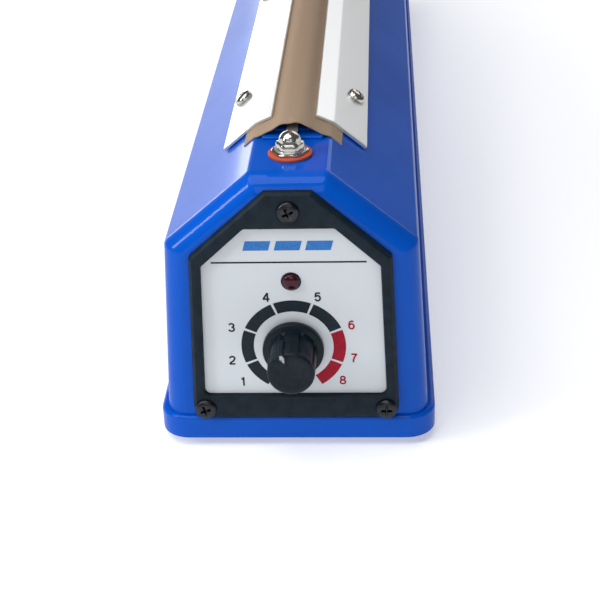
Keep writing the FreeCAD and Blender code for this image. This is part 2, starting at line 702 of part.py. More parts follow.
def sealing_line():
    """Insulating bar, tape, heating element, release cloth and its clamps."""
    half = S.bar_width / 2
    start = SEAL_MIDDLE - RIDGE_LENGTH / 2 + S.ridge_step * 2
    length = RIDGE_LENGTH - S.ridge_step * 4
    bar = Piece("element_bar")
    bar.pad(bar.polygon("XZ", mirrored([(half, RIDGE_TOP), (half, DECK + S.bar_rise - 1.2),
                                        (half - 1.2, DECK + S.bar_rise)]), start), length)
    box("insulation_tape", (0, SEAL_MIDDLE, DECK + S.bar_rise),
        (S.bar_width - 2.8, length, S.tape_thick))
    element()
    cloth = Piece("ptfe_cloth")
    reach = S.cloth_reach / 2
    fold = S.clamp_inner_width / 2
    thick = S.cloth_thick
    under = [on_slope(reach, 0 * thick), (S.deck_width / 2, DECK * 1),
             (fold, DECK + 2.3), (fold * 0.55, DECK + S.cloth_arch - 0.4)]
    crown = (0 * thick, DECK + S.cloth_arch)
    over = [(under[0][0] + thick * 0.65, under[0][1] + thick * 0.76),
            (under[1][0] + thick * 0.56, under[1][1] + thick * 0.84),
            (under[2][0] + thick * 0.5, under[2][1] + thick * 0.88),
            (under[3][0] + thick * 0.35, under[3][1] + thick * 0.95)]
    top = (0 * thick, DECK + S.cloth_arch + thick)
    left_over = [(-x, z) for x, z in reversed(over)]
    left_under = [(-x, z) for x, z in under]
    outline = over + [top] + left_over + left_under + [crown] + under[::-1]
    cloth.pad(cloth.polygon("XZ", outline, SEAL_MIDDLE - CLOTH_LENGTH / 2), CLOTH_LENGTH)
    for name, side in (("clamp_left", -1), ("clamp_right", 1)):
        clamp(name, side)
    pan = screw("clamp_screw", S.clamp_screw_head, 2.2, S.clamp_screw_width, 8)
    seat = S.cloth_thick + S.clamp_gap + S.clamp_thick
    spots = []
    for side in (-1, 1):
        x, z = on_slope(S.clamp_screw_place, 0 * S.wall)
        lean = seat / SLOPE_LIFT
        for y in CLAMP_SCREWS:
            spots.append((side * (x + lean * SLOPE), y, z + lean, (0, 1, 0), side * SLOPE_ANGLE))
    group("clamp_screws", pan, spots)


def element():
    """Resistance strip with an eyelet at each terminal."""
    strip = Piece("heating_element")
    half = S.element_width / 2
    thick = S.element_thick
    low = DECK + S.fibre_thick + S.contact_thick
    high = DECK + S.bar_rise + S.tape_thick
    start = SEAL_MIDDLE - RIDGE_LENGTH / 2 + S.ridge_step * 2
    front = [(TERMINALS[0] + 4, low), (TERMINALS[0] + 8, low), (start, high)]
    back = [(SEAL_MIDDLE * 2 - y, z) for y, z in reversed(front)]
    route = front + back
    outline = route + [(y, z + thick) for y, z in reversed(route)]
    strip.pad(strip.polygon("YZ", outline, -half), S.element_width)
    strip.pad(strip.circles("XY", [(0, y) for y in TERMINALS], 9, low), thick)
    strip.cut(strip.circles("XY", [(0, y) for y in TERMINALS],
                            S.stud_width + S.stud_gap * 2, low), thick)


def clamp(name, side):
    """Bent aluminium strip that holds one edge of the cloth down."""
    lift = S.cloth_thick + S.clamp_gap
    thick = S.clamp_thick
    outer = on_slope(S.clamp_outer_width / 2 - thick * 0.645, lift)
    bend = on_slope(S.deck_width / 2 + lift * 0.56, lift)
    inner = (S.clamp_inner_width / 2 + 0.15, DECK + 2.3 + lift * 1.12)
    under = [outer, bend, inner]
    over = [on_slope(S.clamp_outer_width / 2, lift + thick),
            on_slope(bend[0] + thick * 0.56, lift + thick),
            (inner[0] + thick * 0.4, inner[1] + thick * 0.92)]
    outline = [(side * x, z) for x, z in under + over[::-1]]
    strip = Piece(name)
    strip.pad(strip.polygon("XZ", outline, SEAL_MIDDLE - CLAMP_LENGTH / 2), CLAMP_LENGTH)
    holes = strip.circles("XY", [(0, y) for y in CLAMP_SCREWS],
                          S.clamp_screw_width + S.screw_gap * 2,
                          on_slope(S.clamp_screw_place, 0 * S.wall)[1])
    strip.tilt(holes, side * S.clamp_screw_place, side * SLOPE_ANGLE)
    strip.cut(holes, 5)


def terminals():
    """Insulated studs that carry current to each end of the element."""
    hole = S.stud_width + S.stud_gap * 2

    def ring(name, width, thick, heights):
        washer = Piece(name + "_part", is_node=False)
        washer.pad(washer.circles("XY", [(0, 0)], width), thick)
        washer.cut(washer.circles("XY", [(0, 0)], hole), thick)
        group(name, washer.body, [(0, y, height) for y in TERMINALS for height in heights])
    seat = DECK + S.fibre_thick + S.contact_thick + S.element_thick
    ring("fibre_washers", S.fibre_width, S.fibre_thick,
         (DECK, DECK - S.wall - S.fibre_thick))
    ring("contact_washers", S.contact_width, S.contact_thick, [DECK + S.fibre_thick])
    nut = Piece("cap_nut", is_node=False)
    half = S.cap_nut_width / 2
    tall = S.cap_nut_height
    nut.spin(nut.polygon("XZ", [(0, 0), (half * 1.14, 0), (half * 1.14, tall * 0.16),
                                (half, tall * 0.2), (half, tall * 0.42),
                                (half * 0.86, tall * 0.72), (half * 0.5, tall * 0.94),
                                (0, tall)]))
    nut.cut(nut.circles("XY", [(0, 0)], hole), tall * 0.6)
    group("cap_nuts", nut.body, [(0, y, seat) for y in TERMINALS])
    stud = Piece("stud", is_node=False)
    drop = S.wall + S.fibre_thick + 8
    rise = S.fibre_thick + S.contact_thick + S.element_thick + tall * 0.55
    stud.pad(stud.circles("XY", [(0, 0)], S.stud_width, -drop), drop + rise)
    group("terminal_studs", stud.body, [(0, y, DECK) for y in TERMINALS])
    hexnut = Piece("stud_nut", is_node=False)
    hexnut.pad(hexnut.polygon("XY", hex_points(7 * S.stud_width / 4)), 3.2)
    hexnut.cut(hexnut.circles("XY", [(0, 0)], hole), 3.2)
    group("stud_nuts", hexnut.body,
          [(0, y, DECK - S.wall - S.fibre_thick - 3.2) for y in TERMINALS])


# ---- hinge --------------------------------------------------------------------------

def hinge():
    """Bracket, pin, bushes and clips that the arm swings on."""
    half = S.bracket_width / 2
    thick = S.bracket_thick
    front = PIVOT_Y + 12 - S.bracket_length
    bracket = Piece("hinge_bracket")
    bracket.pad(bracket.polygon("XZ", mirrored([(half, DECK), (half, DECK + thick)]), front),
                S.bracket_length)
    top = PIVOT_Z + S.ear_radius
    for side in (-1, 1):
        wall = [(side * half, DECK + thick / 2), (side * half, top),
                (side * (half - thick), top), (side * (half - thick), DECK + thick / 2)]
        bracket.pad(bracket.polygon("XZ", wall, PIVOT_Y - S.ear_length / 2), S.ear_length)
    bracket.soften(S.ear_radius, lambda e: at_plane("Z", top)(e) and e.BoundBox.YLength < 0.01)
    bracket.cut(bracket.circles("YZ", [(PIVOT_Y, PIVOT_Z)], S.pin_width + S.pin_gap * 2, -half),
                S.bracket_width)
    spots = [(side * 4.5, y) for side in (-1, 1) for y in BRACKET_SCREWS]
    bracket.cut(bracket.circles("XY", spots, S.plate_screw_width + S.screw_gap * 2, DECK), thick)
    pan = screw("bracket_screw", S.plate_screw_head, 1.8, S.plate_screw_width, 9)
    group("hinge_screws", pan, [(x, y, DECK + thick) for x, y in spots])
    pin = Piece("hinge_pin")
    pin.pad(pin.circles("YZ", [(PIVOT_Y, PIVOT_Z)], S.pin_width, -(S.pin_length / 2)),
            S.pin_length)
    ear = S.channel_width / 2
    clip = Piece("pin_clips")
    for start in (ear + S.bush_flange + 0.3, -ear - S.bush_flange - 1.1):
        clip.pad(clip.circles("YZ", [(PIVOT_Y, PIVOT_Z)], 10, start), 0.8)
    clip.cut(clip.circles("YZ", [(PIVOT_Y, PIVOT_Z)], S.pin_width + S.pin_gap, -ear * 2), ear * 4)
    bore = S.pin_width + S.pin_gap * 2
    bush = Piece("bush", is_node=False)
    bush.pad(bush.circles("YZ", [(0, 0)], bore + S.bush_wall * 2), S.channel_thick)
    bush.pad(bush.circles("YZ", [(0, 0)], 12, S.channel_thick * 1), S.bush_flange)
    bush.cut(bush.circles("YZ", [(0, 0)], bore), S.channel_thick + S.bush_flange)
    inner = ear - S.channel_thick
    group("arm_bushes", bush.body, [(inner, PIVOT_Y, PIVOT_Z),
                                    (-inner, PIVOT_Y, PIVOT_Z, (0, 0, 1), 180)])


def spring():
    """Return spring in its cup, as long as the open arm leaves it."""
    seat = Piece("spring_seat")
    inside = S.spring_width / 2 + 0.3
    outside = inside + S.seat_wall
    profile = [(0, 0), (outside, 0), (outside, S.seat_thick + 2.5),
               (inside, S.seat_thick + 2.5), (inside, S.seat_thick), (0, S.seat_thick)]
    seat.spin(seat.polygon("XZ", profile))
    place(seat.body, 0, SPRING_Y, DECK + S.bracket_thick)
    bottom = DECK + S.bracket_thick + S.seat_thick
    rise = SPRING_TOP - bottom - S.spring_wire - 0.2
    wire = coil("return_spring", (S.spring_width - S.spring_wire) / 2, rise, S.spring_turns,
                S.spring_wire)
    place(wire, 0, SPRING_Y, bottom + S.spring_wire / 2 + 0.1)


# ---- arm: drawn closed, with the pivot as its origin --------------------------------

ARM_WEB = WEB - PIVOT_Z
ARM_TOP = ARM_WEB + S.channel_rise
ARM_FRONT = FRONT + S.channel_front - PIVOT_Y
GRIP_FRONT = FRONT + S.grip_nose - PIVOT_Y
COVER_FRONT = GRIP_FRONT + S.grip_length
COVER_LENGTH = S.cover_tail - COVER_FRONT
ARM_SEAL = SEAL_MIDDLE - PIVOT_Y
HOLDER_SCREWS = [ARM_SEAL + HOLDER_LENGTH * k for k in (-0.45, -0.15, 0.15, 0.45)]
GRIP_SCREW = (GRIP_FRONT + S.grip_length * 0.6, ARM_WEB + S.channel_rise / 2)
COVER_SCREWS = [(COVER_FRONT + 30, ARM_WEB + S.channel_rise / 2),
                (S.cover_tail - 76, ARM_WEB + S.channel_rise / 2)]
SPRING_LOW = (S.spring_place - S.spring_width / 2) * sine(S.open_angle) / cosine(S.open_angle)
SPRING_TOP = PIVOT_Z + ARM_WEB / cosine(S.open_angle) + SPRING_LOW


def lifted(thing, y=0, z=0):
    """Swing a piece of the arm up to the open position."""
    angle = -S.open_angle
    along = y * cosine(angle) - z * sine(angle) if isinstance(y, Size) else 0
    up = y * sine(angle) + z * cosine(angle) if isinstance(y, Size) else 0
    return place(thing, 0, PIVOT_Y + along, PIVOT_Z + up, (1, 0, 0), angle)


def arm_channel():
    """Steel channel that carries the pressing strip."""
    half = S.channel_width / 2
    thick = S.channel_thick
    channel = Piece("arm_channel")
    outline = [(-half, ARM_WEB), (half, ARM_WEB), (half, ARM_TOP), (half - thick, ARM_TOP),
               (half - thick, ARM_WEB + thick), (-(half - thick), ARM_WEB + thick),
               (-(half - thick), ARM_TOP), (-half, ARM_TOP)]
    channel.pad(channel.polygon("XZ", outline, ARM_FRONT), 12 - ARM_FRONT)
    gap = half - thick
    slot = [(-gap, ARM_WEB - 1), (gap, ARM_WEB - 1), (gap, ARM_TOP), (-gap, ARM_TOP)]
    channel.cut(channel.polygon("XZ", slot, -S.web_clear), S.web_clear + 13)
    channel.soften(6, lambda e: at_plane("Y", 12)(e) and e.BoundBox.ZLength < 0.01)
    bore = S.pin_width + S.pin_gap * 2 + S.bush_wall * 2 + 0.1
    channel.cut(channel.circles("YZ", [(0, 0)], bore, -half), S.channel_width)
    side_holes = channel.circles("YZ", [GRIP_SCREW] + COVER_SCREWS,
                                 S.arm_screw_width + S.screw_gap * 2, -half)
    channel.cut(side_holes, S.channel_width)
    down = [(0, y) for y in HOLDER_SCREWS] + [(0, -S.plunger_place)]
    channel.cut(channel.circles("XY", down, S.arm_screw_width + S.screw_gap * 2, ARM_WEB), thick)
    lifted(channel.body)


def pressing_strip():
    """Silicone strip and the aluminium holder that grips its foot."""
    outer = S.holder_width / 2
    thick = S.holder_thick
    low = ARM_WEB - S.holder_height
    throat = S.strip_width / 2 + S.holder_gap
    start = ARM_SEAL - HOLDER_LENGTH / 2
    holder = Piece("strip_holder")
    outline = mirrored([(throat, low), (outer, low), (outer, ARM_WEB)])
    inside = mirrored([(throat, low), (throat, low + thick), (outer - thick, low + thick),
                       (outer - thick, ARM_WEB - thick)])
    holder.pad(holder.polygon("XZ", outline, start), HOLDER_LENGTH)
    holder.cut(holder.polygon("XZ", inside, start), HOLDER_LENGTH)
    spots = [(0, y) for y in HOLDER_SCREWS]
    holder.cut(holder.circles("XY", spots, S.arm_screw_width + S.screw_gap * 2,
                              ARM_WEB - thick), thick)
    lifted(holder.body)
    strip = Piece("silicone_strip")
    neck = S.strip_width / 2
    foot = outer - thick - S.holder_gap
    bottom = low - S.strip_proud
    shelf = low + thick + S.holder_gap / 2
    section = mirrored([(neck, bottom), (neck, shelf), (foot, shelf),
                        (foot, ARM_WEB - thick - S.holder_gap / 2)])
    strip.pad(strip.polygon("XZ", section, start), HOLDER_LENGTH)
    lifted(strip.body)


def arm_cover():
    """Painted cover over the channel."""
    outer = S.cover_width / 2
    thick = S.cover_thick
    roof = ARM_TOP + S.cover_gap
    low = ARM_WEB + 1
    cover = Piece("arm_cover")
    shape = mirrored([(outer, low), (outer, roof - 3), (outer - 4, roof + thick)])
    cover.pad(cover.polygon("XZ", shape, COVER_FRONT), COVER_LENGTH + thick)
    cover.soften(S.edge_round, lengthwise(low + 1))
    inside = mirrored([(outer - thick, low), (outer - thick, roof - 3.5),
                       (outer - thick - 2.8, roof)])
    cover.cut(cover.polygon("XZ", inside, COVER_FRONT), COVER_LENGTH)
    shelf = S.channel_width / 2 + 0.05
    for start in (shelf, -(outer - thick + 0.2)):
        cover.pad(cover.circles("YZ", COVER_SCREWS, 7, start), outer - thick + 0.2 - shelf)
    cover.cut(cover.circles("YZ", COVER_SCREWS, S.arm_screw_width + S.screw_gap * 2, -outer),
              S.cover_width)
    lifted(cover.body)


def arm_grip():
    """Moulded handle cap at the front of the arm."""
    half = S.grip_width / 2
    f = GRIP_FRONT
    back = COVER_FRONT
    low = ARM_WEB - 2
    high = ARM_TOP + S.cover_gap + S.cover_thick
    side = [(f + 1, low), (back, low), (back, high), (back - 12, high + S.grip_rise * 0.8),
            (f + 26, high + S.grip_rise), (f + 8, high + S.grip_rise * 0.5), (f, high - 6)]
    grip = Piece("arm_grip")
    grip.pad(grip.polygon("YZ", side, -half), S.grip_width)
    grip.soften(4, lambda e: e.BoundBox.XLength < 0.01 and e.BoundBox.ZMin > number(low) + 2)
    gap = S.channel_width / 2 + S.grip_gap
    hollow = mirrored([(gap, low), (gap, ARM_TOP + S.grip_gap)])
    grip.cut(grip.polygon("XZ", hollow, ARM_FRONT - S.grip_gap), S.grip_length)
    grip.cut(grip.circles("YZ", [GRIP_SCREW], S.arm_screw_width + S.screw_gap * 2, -half),
             S.grip_width)
    lifted(grip.body)


def arm_fasteners():
    """Side screws, holder screws and the striker under the arm."""
    pan = screw("side_screw", S.arm_screw_head, 1.8, S.arm_screw_width, 6)
    tilt = -S.open_angle
    def swung(x, y, z, axis, turn):
        """Return a group place on the open arm for a screw turned about Y."""
        along = PIVOT_Y + y * cosine(tilt) - z * sine(tilt)
        up = PIVOT_Z + y * sine(tilt) + z * cosine(tilt)
        return (x, along, up, axis, turn)
    seats = [(S.grip_width / 2, GRIP_SCREW)] + [(S.cover_width / 2, s) for s in COVER_SCREWS]
    spots = [swung(side * x, y, z, (0, 1, 0), side * 90)
             for x, (y, z) in seats for side in (-1, 1)]
    group("arm_side_screws", pan, spots)
    short = screw("holder_screw", S.arm_screw_head, 1.6, S.arm_screw_width, 2.6)
    top = ARM_WEB + S.channel_thick
    spots = [swung(0, y, top, (1, 0, 0), tilt) for y in HOLDER_SCREWS]
    group("holder_screws", short, spots)
    striker = Piece("striker")
    half = S.striker_width / 2
    stem = S.arm_screw_width / 2
    reach = ARM_WEB + PIVOT_Z - (DECK + S.plunger_proud - S.plunger_travel + S.close_gap)
    profile = [(0, -reach), (half * 0.8, -reach), (half, -reach + 0.6), (half, 0), (stem, 0),
               (stem, S.channel_thick), (half, S.channel_thick), (half, S.channel_thick + 1.8),
               (0, S.channel_thick + 1.8)]
    striker.spin(striker.polygon("XZ", profile))
    lifted(striker.body, -S.plunger_place, ARM_WEB)


# ---- switch -------------------------------------------------------------------------

PLUNGER_TOP = DECK + S.plunger_proud
PLUNGER_FOOT = PLUNGER_TOP - S.plunger_length
LEVER_ARM = 18
LEVER_Z = PLUNGER_FOOT - 6.2
SWITCH_TOP = LEVER_Z - 1.2
SWITCH_WIDTH = 10
SWITCH_HEIGHT = 16
SWITCH_PLATE = 1.5
SWITCH_FOOT_SCREWS = [(16, PLUNGER_Y - 9), (16, PLUNGER_Y + 1)]
FLOOR = BED + S.plate_thick


def switch():
    """Push rod, lever and switch that start the heating pulse."""
    rod = Piece("switch_plunger")
    half = S.plunger_width / 2
    under = DECK - S.wall - S.plunger_travel - 1
    foot = PLUNGER_FOOT
    head = PLUNGER_TOP
    rod.spin(rod.polygon("XZ", [(0, foot - head), (half * 0.7, foot - head),
                                (half, foot - head + 1), (half, under - head - 1.2),
                                (half + 1.6, under - head - 1.2), (half + 1.6, under - head),
                                (half, under - head), (half, -0.8), (half * 0.7, 0 * half),
                                (0, 0 * half)]))
    place(rod.body, 0, PLUNGER_Y, head)
    lever = Piece("switch_lever")
    lever.pad(lever.polygon("YZ", [(0, -0.25), (24, -0.25), (24, 0.25), (0, 0.25)], -2), 4)
    lean = slant(PLUNGER_FOOT - LEVER_Z - 1.3, Size(LEVER_ARM, str(LEVER_ARM)))
    place(lever.body, 0, PLUNGER_Y - LEVER_ARM, LEVER_Z, (1, 0, 0), lean)
    middle = PLUNGER_Y - 5
    block = Piece("microswitch")
    length = 28
    x = SWITCH_WIDTH / 2
    outline = [(-x, SWITCH_TOP - SWITCH_HEIGHT), (x, SWITCH_TOP - SWITCH_HEIGHT),
               (x, SWITCH_TOP), (-x, SWITCH_TOP)]
    block.pad(block.polygon("XZ", outline, middle - length / 2), length)
    bolts = [(middle - 9, SWITCH_TOP - 10), (middle + 9, SWITCH_TOP - 10)]
    block.cut(block.circles("YZ", bolts, 3.2, -x), SWITCH_WIDTH)
    bracket = Piece("switch_bracket")
    thick = SWITCH_PLATE
    ell = [(x, FLOOR), (22, FLOOR), (22, FLOOR + thick), (x + thick, FLOOR + thick),
           (x + thick, SWITCH_TOP - 2), (x, SWITCH_TOP - 2)]
    bracket.pad(bracket.polygon("XZ", ell, middle - 13), 26)
    bracket.cut(bracket.circles("YZ", bolts, 3.2, x), thick)
    bracket.cut(bracket.circles("XY", SWITCH_FOOT_SCREWS, 3.2, FLOOR), thick)
    pan = screw("switch_screw", 5.4, 1.7, 3, 12.5)
    group("switch_screws", pan, [(-x, y, z, (0, 1, 0), -90) for y, z in bolts])


# ---- transformer --------------------------------------------------------------------

CORE_HALF = S.core_width / 2
STRAP_END = INNER_FOOT - S.strap_clear
STRAP_FOOT = STRAP_END - 4
STRAP_SCREWS = [(side * STRAP_FOOT, S.core_place * 1) for side in (-1, 1)]


def transformer():
    """Laminated core, coil and the strap that holds them to the base plate."""
    leg = S.core_leg / 2
    yoke = S.core_yoke
    bottom = FLOOR
    top = bottom + S.core_height
    front = S.core_place - S.core_depth / 2
    core = Piece("transformer_core")
    core.pad(core.polygon("XZ", mirrored([(CORE_HALF, bottom), (CORE_HALF, top)]), front),
             S.core_depth)
    for side in (-1, 1):
        window = [(side * leg, bottom + yoke), (side * (CORE_HALF - yoke), bottom + yoke),
                  (side * (CORE_HALF - yoke), top - yoke), (side * leg, top - yoke)]
        core.cut(core.polygon("XZ", window, front), S.core_depth)
    gap = S.coil_gap
    coil = Piece("transformer_coil")
    wide = CORE_HALF - yoke - gap
    deep = S.core_depth / 2 + 9
    ring = [(-wide, S.core_place - deep), (wide, S.core_place - deep),
            (wide, S.core_place + deep), (-wide, S.core_place + deep)]
    coil.pad(coil.polygon("XY", ring, bottom + yoke + gap), S.core_height - yoke * 2 - gap * 2)
    coil.soften(3, upright)
    x = leg + gap
    y = S.core_depth / 2 + gap
    hole = [(-x, S.core_place - y), (x, S.core_place - y), (x, S.core_place + y),
            (-x, S.core_place + y)]
    coil.cut(coil.polygon("XY", hole, bottom + yoke + gap), S.core_height - yoke * 2 - gap * 2)
    strap = Piece("transformer_strap")
    thick = S.strap_thick
    near = CORE_HALF + 0.2
    right = [(STRAP_END, bottom), (STRAP_END, bottom + thick),
             (near + thick, bottom + thick), (near + thick, top + 0.2 + thick)]
    left = [(-x, z) for x, z in reversed(right)]
    inside = [(-near, bottom * 1), (-near, top + 0.2), (near, top + 0.2), (near, bottom * 1)]
    strap.pad(strap.polygon("XZ", right + left + inside, S.core_place - S.strap_depth / 2),
              S.strap_depth)
    strap.cut(strap.circles("XY", STRAP_SCREWS, 3.2, bottom), thick)
    pan = screw("chassis_screw", 5.4, 1.7, 3, 3.6)
    group("chassis_screws", pan, [(x, y, bottom + thick) for x, y in STRAP_SCREWS]
          + [(x, y, bottom + SWITCH_PLATE) for x, y in SWITCH_FOOT_SCREWS])
    low = bottom + S.core_height - yoke - gap
    drop = DECK - S.wall - S.fibre_thick - 8
    level = DECK - S.lead_drop
    for name, start, end in (("front_lead", TERMINALS[0], S.core_place - deep + 4.5),
                             ("rear_lead", TERMINALS[1], S.core_place + deep - 4.5)):
        lead(name, [(0, start, drop), (0, start, level), (0, end, level), (0, end, low)],
             S.lead_width, 5)


# ---- rear panel ---------------------------------------------------------------------

def rear_panel():
    """Cable gland and fuse holder in the rear wall."""
    wall = -FACE
    end = REAR + S.end_reach - wall
    inside = -(S.wall + 4)
    gland = Piece("cable_gland")
    half = S.gland_width / 2
    bore = S.gland_bore / 2
    stem = half - 1.5
    profile = [(inside, bore), (inside, stem), (0 * wall, stem), (0 * wall, half),
               (4, half), (5, half - 0.8), (end - 3, half - 1.6), (end, bore + 1.2), (end, bore)]
    gland.spin(gland.polygon("YZ", profile), "H_Axis")
    place(gland.body, -(S.rear_spread / 2), wall, BED + S.rear_height)
    nut = Piece("gland_nut")
    nut.pad(nut.polygon("XZ", hex_points(S.gland_width + 2), -(S.wall + 3)), 3)
    nut.cut(nut.circles("XZ", [(0, 0)], stem * 2 + 0.2, -(S.wall + 3)), 3)
    place(nut.body, -(S.rear_spread / 2), wall, BED + S.rear_height)
    body = Piece("fuse_holder")
    tube = S.fuse_width / 2
    rim = S.cap_width / 2
    depth = -(S.wall + 26)
    outline = [(depth, 0), (depth, tube), (0 * wall, tube), (0 * wall, rim), (2.5, rim),
               (2.5, 3.4), (depth + 2, 3.4), (depth + 2, 0)]
    body.spin(body.polygon("YZ", outline), "H_Axis")
    place(body.body, S.rear_spread / 2, wall, BED + S.rear_height)
    cap = Piece("fuse_cap")
    cap.spin(cap.polygon("YZ", [(-6, 0), (-6, 3.2), (2.7, 3.2), (2.7, rim - 0.5),
                                (end - 1, rim - 1), (end, rim - 2), (end, 0)]), "H_Axis")
    slot = cap.polygon("XZ", [(-5, -0.6), (5, -0.6), (5, 0.6), (-5, 0.6)], end - 1.2)
    cap.cut(slot, 2)
    place(cap.body, S.rear_spread / 2, wall, BED + S.rear_height)
    fuse = Piece("fuse")
    fuse.pad(fuse.circles("XZ", [(0, 0)], 5.2, depth + 2), 20)
    place(fuse.body, S.rear_spread / 2, wall, BED + S.rear_height)


def write_parts():
    """Check every object and write each sub-part to its own file."""
    doc.recompute()
    for thing in doc.Objects:
        if "Invalid" in thing.State or "Error" in thing.State:
            raise RuntimeError(f"{thing.Label} failed: {thing.State}")
    os.makedirs("parts", exist_ok=True)
    for thing in NODES:
        shape = thing.Shape
        if shape.isNull() or not shape.isValid() or not shape.Solids:
            raise RuntimeError(f"{thing.Label} has no valid solid")
        shape.exportStep(f"parts/{thing.Label}.step")
    print(f"{len(NODES)} sub-parts written")


for build in (body_shell, base_plate, housing_fasteners, front_bezel, lamp, timer_knob,
              potentiometer, timer_board, sealing_line, terminals, hinge, spring, arm_channel,
              pressing_strip, arm_cover, arm_grip, arm_fasteners, switch, transformer,
              rear_panel):
    build()
write_parts()
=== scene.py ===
"""Visual model of a benchtop impulse heat sealer.

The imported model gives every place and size.  The housing, the front panel, the dial
knob, the terminals, the release cloth, its clamps and the arm's covers are built here
as finished surfaces.  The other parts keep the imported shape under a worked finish.
"""
import logging
import math
from dataclasses import dataclass
from enum import Enum
from typing import Callable, Dict, List, Optional, Sequence, Tuple

import bmesh
import bpy
import numpy as np
from mathutils import Matrix, Vector


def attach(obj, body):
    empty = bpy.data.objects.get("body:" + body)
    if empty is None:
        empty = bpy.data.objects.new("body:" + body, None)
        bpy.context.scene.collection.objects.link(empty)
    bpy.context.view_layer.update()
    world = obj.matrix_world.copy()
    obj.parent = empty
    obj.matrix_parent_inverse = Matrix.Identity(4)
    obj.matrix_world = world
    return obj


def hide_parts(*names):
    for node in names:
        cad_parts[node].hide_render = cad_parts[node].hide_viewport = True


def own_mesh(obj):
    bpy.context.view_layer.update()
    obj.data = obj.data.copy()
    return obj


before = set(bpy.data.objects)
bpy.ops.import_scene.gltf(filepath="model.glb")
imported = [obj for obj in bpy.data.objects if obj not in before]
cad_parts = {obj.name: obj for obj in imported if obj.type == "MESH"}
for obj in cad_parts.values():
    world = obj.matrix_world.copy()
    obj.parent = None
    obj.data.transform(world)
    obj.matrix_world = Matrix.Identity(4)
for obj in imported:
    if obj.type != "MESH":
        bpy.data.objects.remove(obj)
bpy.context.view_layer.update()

LOG = logging.getLogger("heat_sealer")
MM = 0.001
Flat = Tuple[float, float]
Spot = Tuple[float, float, float]
Colour = Tuple[float, float, float]
Reach = Callable[[float, float, float], float]
Seat = Tuple[Spot, Spot]

# Places that several sub-assemblies share, in millimetres.
DECK = 89.3
DECK_HALF = 11.4
END_WALL = 223.4
LABEL_FACE = -224.4
DIAL_HEIGHT = 35.4
LAMP_HEIGHT = 57.3
SEAL_MIDDLE = -35.0
TERMINALS = (-206.0, 136.0)
BRACKET_FACE = 91.3
REAR_HEIGHT = 29.0
GLAND_PLACE, FUSE_PLACE = -16.0, 16.0
PANEL_SCREWS: Tuple[Flat, ...] = ((0, 80.2), (27.5, 14.3), (-27.5, 14.3))
HINGE_SCREWS: Tuple[Flat, ...] = tuple((x, y) for x in (-4.5, 4.5) for y in (169.5, 189))
PLATE_SCREWS: Tuple[Flat, ...] = tuple((x, y) for x in (-35.1, 35.1) for y in (-196, 0, 196))


# ---- outlines and skins, in millimetres ---------------------------------------------

def mirrored(half: Sequence[Flat]) -> List[Flat]:
    """Complete an outline from its right half.

    Args:
        half: corners from the bottom right to the top right.

    Returns:
        The whole outline, anticlockwise.
    """
    return list(half) + [(-x, z) for x, z in reversed(half)]


def inset(corners: Sequence[Flat], depths: Sequence[float]) -> List[Flat]:
    """Move the sides of an anticlockwise outline inwards.

    Args:
        corners: the outline's corners.
        depths: how far each side moves; side i runs from corner i to the next one.

    Returns:
        The new corners, in the same order.
    """
    moved = []
    count = len(corners)
    for i in range(count):
        before, here, after = (Vector(corners[(i + k) % count]) for k in (-1, 0, 1))
        one, two = (here - before).normalized(), (after - here).normalized()
        first, second = Vector((-one.y, one.x)), Vector((-two.y, two.x))
        a = first.dot(here) + depths[i - 1]
        b = second.dot(here) + depths[i]
        cross = first.x * second.y - first.y * second.x
        if abs(cross) < 1e-6:
            moved.append(tuple(here + first * depths[i]))
            continue
        moved.append(((a * second.y - b * first.y) / cross,
                      (b * first.x - a * second.x) / cross))
    return moved


def rounded(corners: Sequence[Flat], radii: Sequence[float], steps: int = 6) -> List[Flat]:
    """Turn each corner of an outline into an arc.

    Args:
        corners: the outline's corners, in order.
        radii: the arc's radius at each corner.
        steps: the number of short sides in each arc.

    Returns:
        A finer outline with steps + 1 points for each corner.
    """
    fine = []
    count = len(corners)
    for i, radius in enumerate(radii):
        before, here, after = (Vector(corners[(i + k) % count]) for k in (-1, 0, 1))
        back, on = before - here, after - here
        half = back.angle(on) / 2
        cut = min(radius / math.tan(half), back.length * 0.49, on.length * 0.49)
        start, end = here + back.normalized() * cut, here + on.normalized() * cut
        bisector = (back.normalized() + on.normalized()).normalized()
        centre = here + bisector * (cut / math.cos(half))
        first, last = start - centre, end - centre
        sweep = first.angle(last)
        for k in range(steps + 1):
            t = k / steps
            mix = first * math.sin((1 - t) * sweep) + last * math.sin(t * sweep)
            fine.append(tuple(centre + mix / math.sin(sweep)))
    return fine


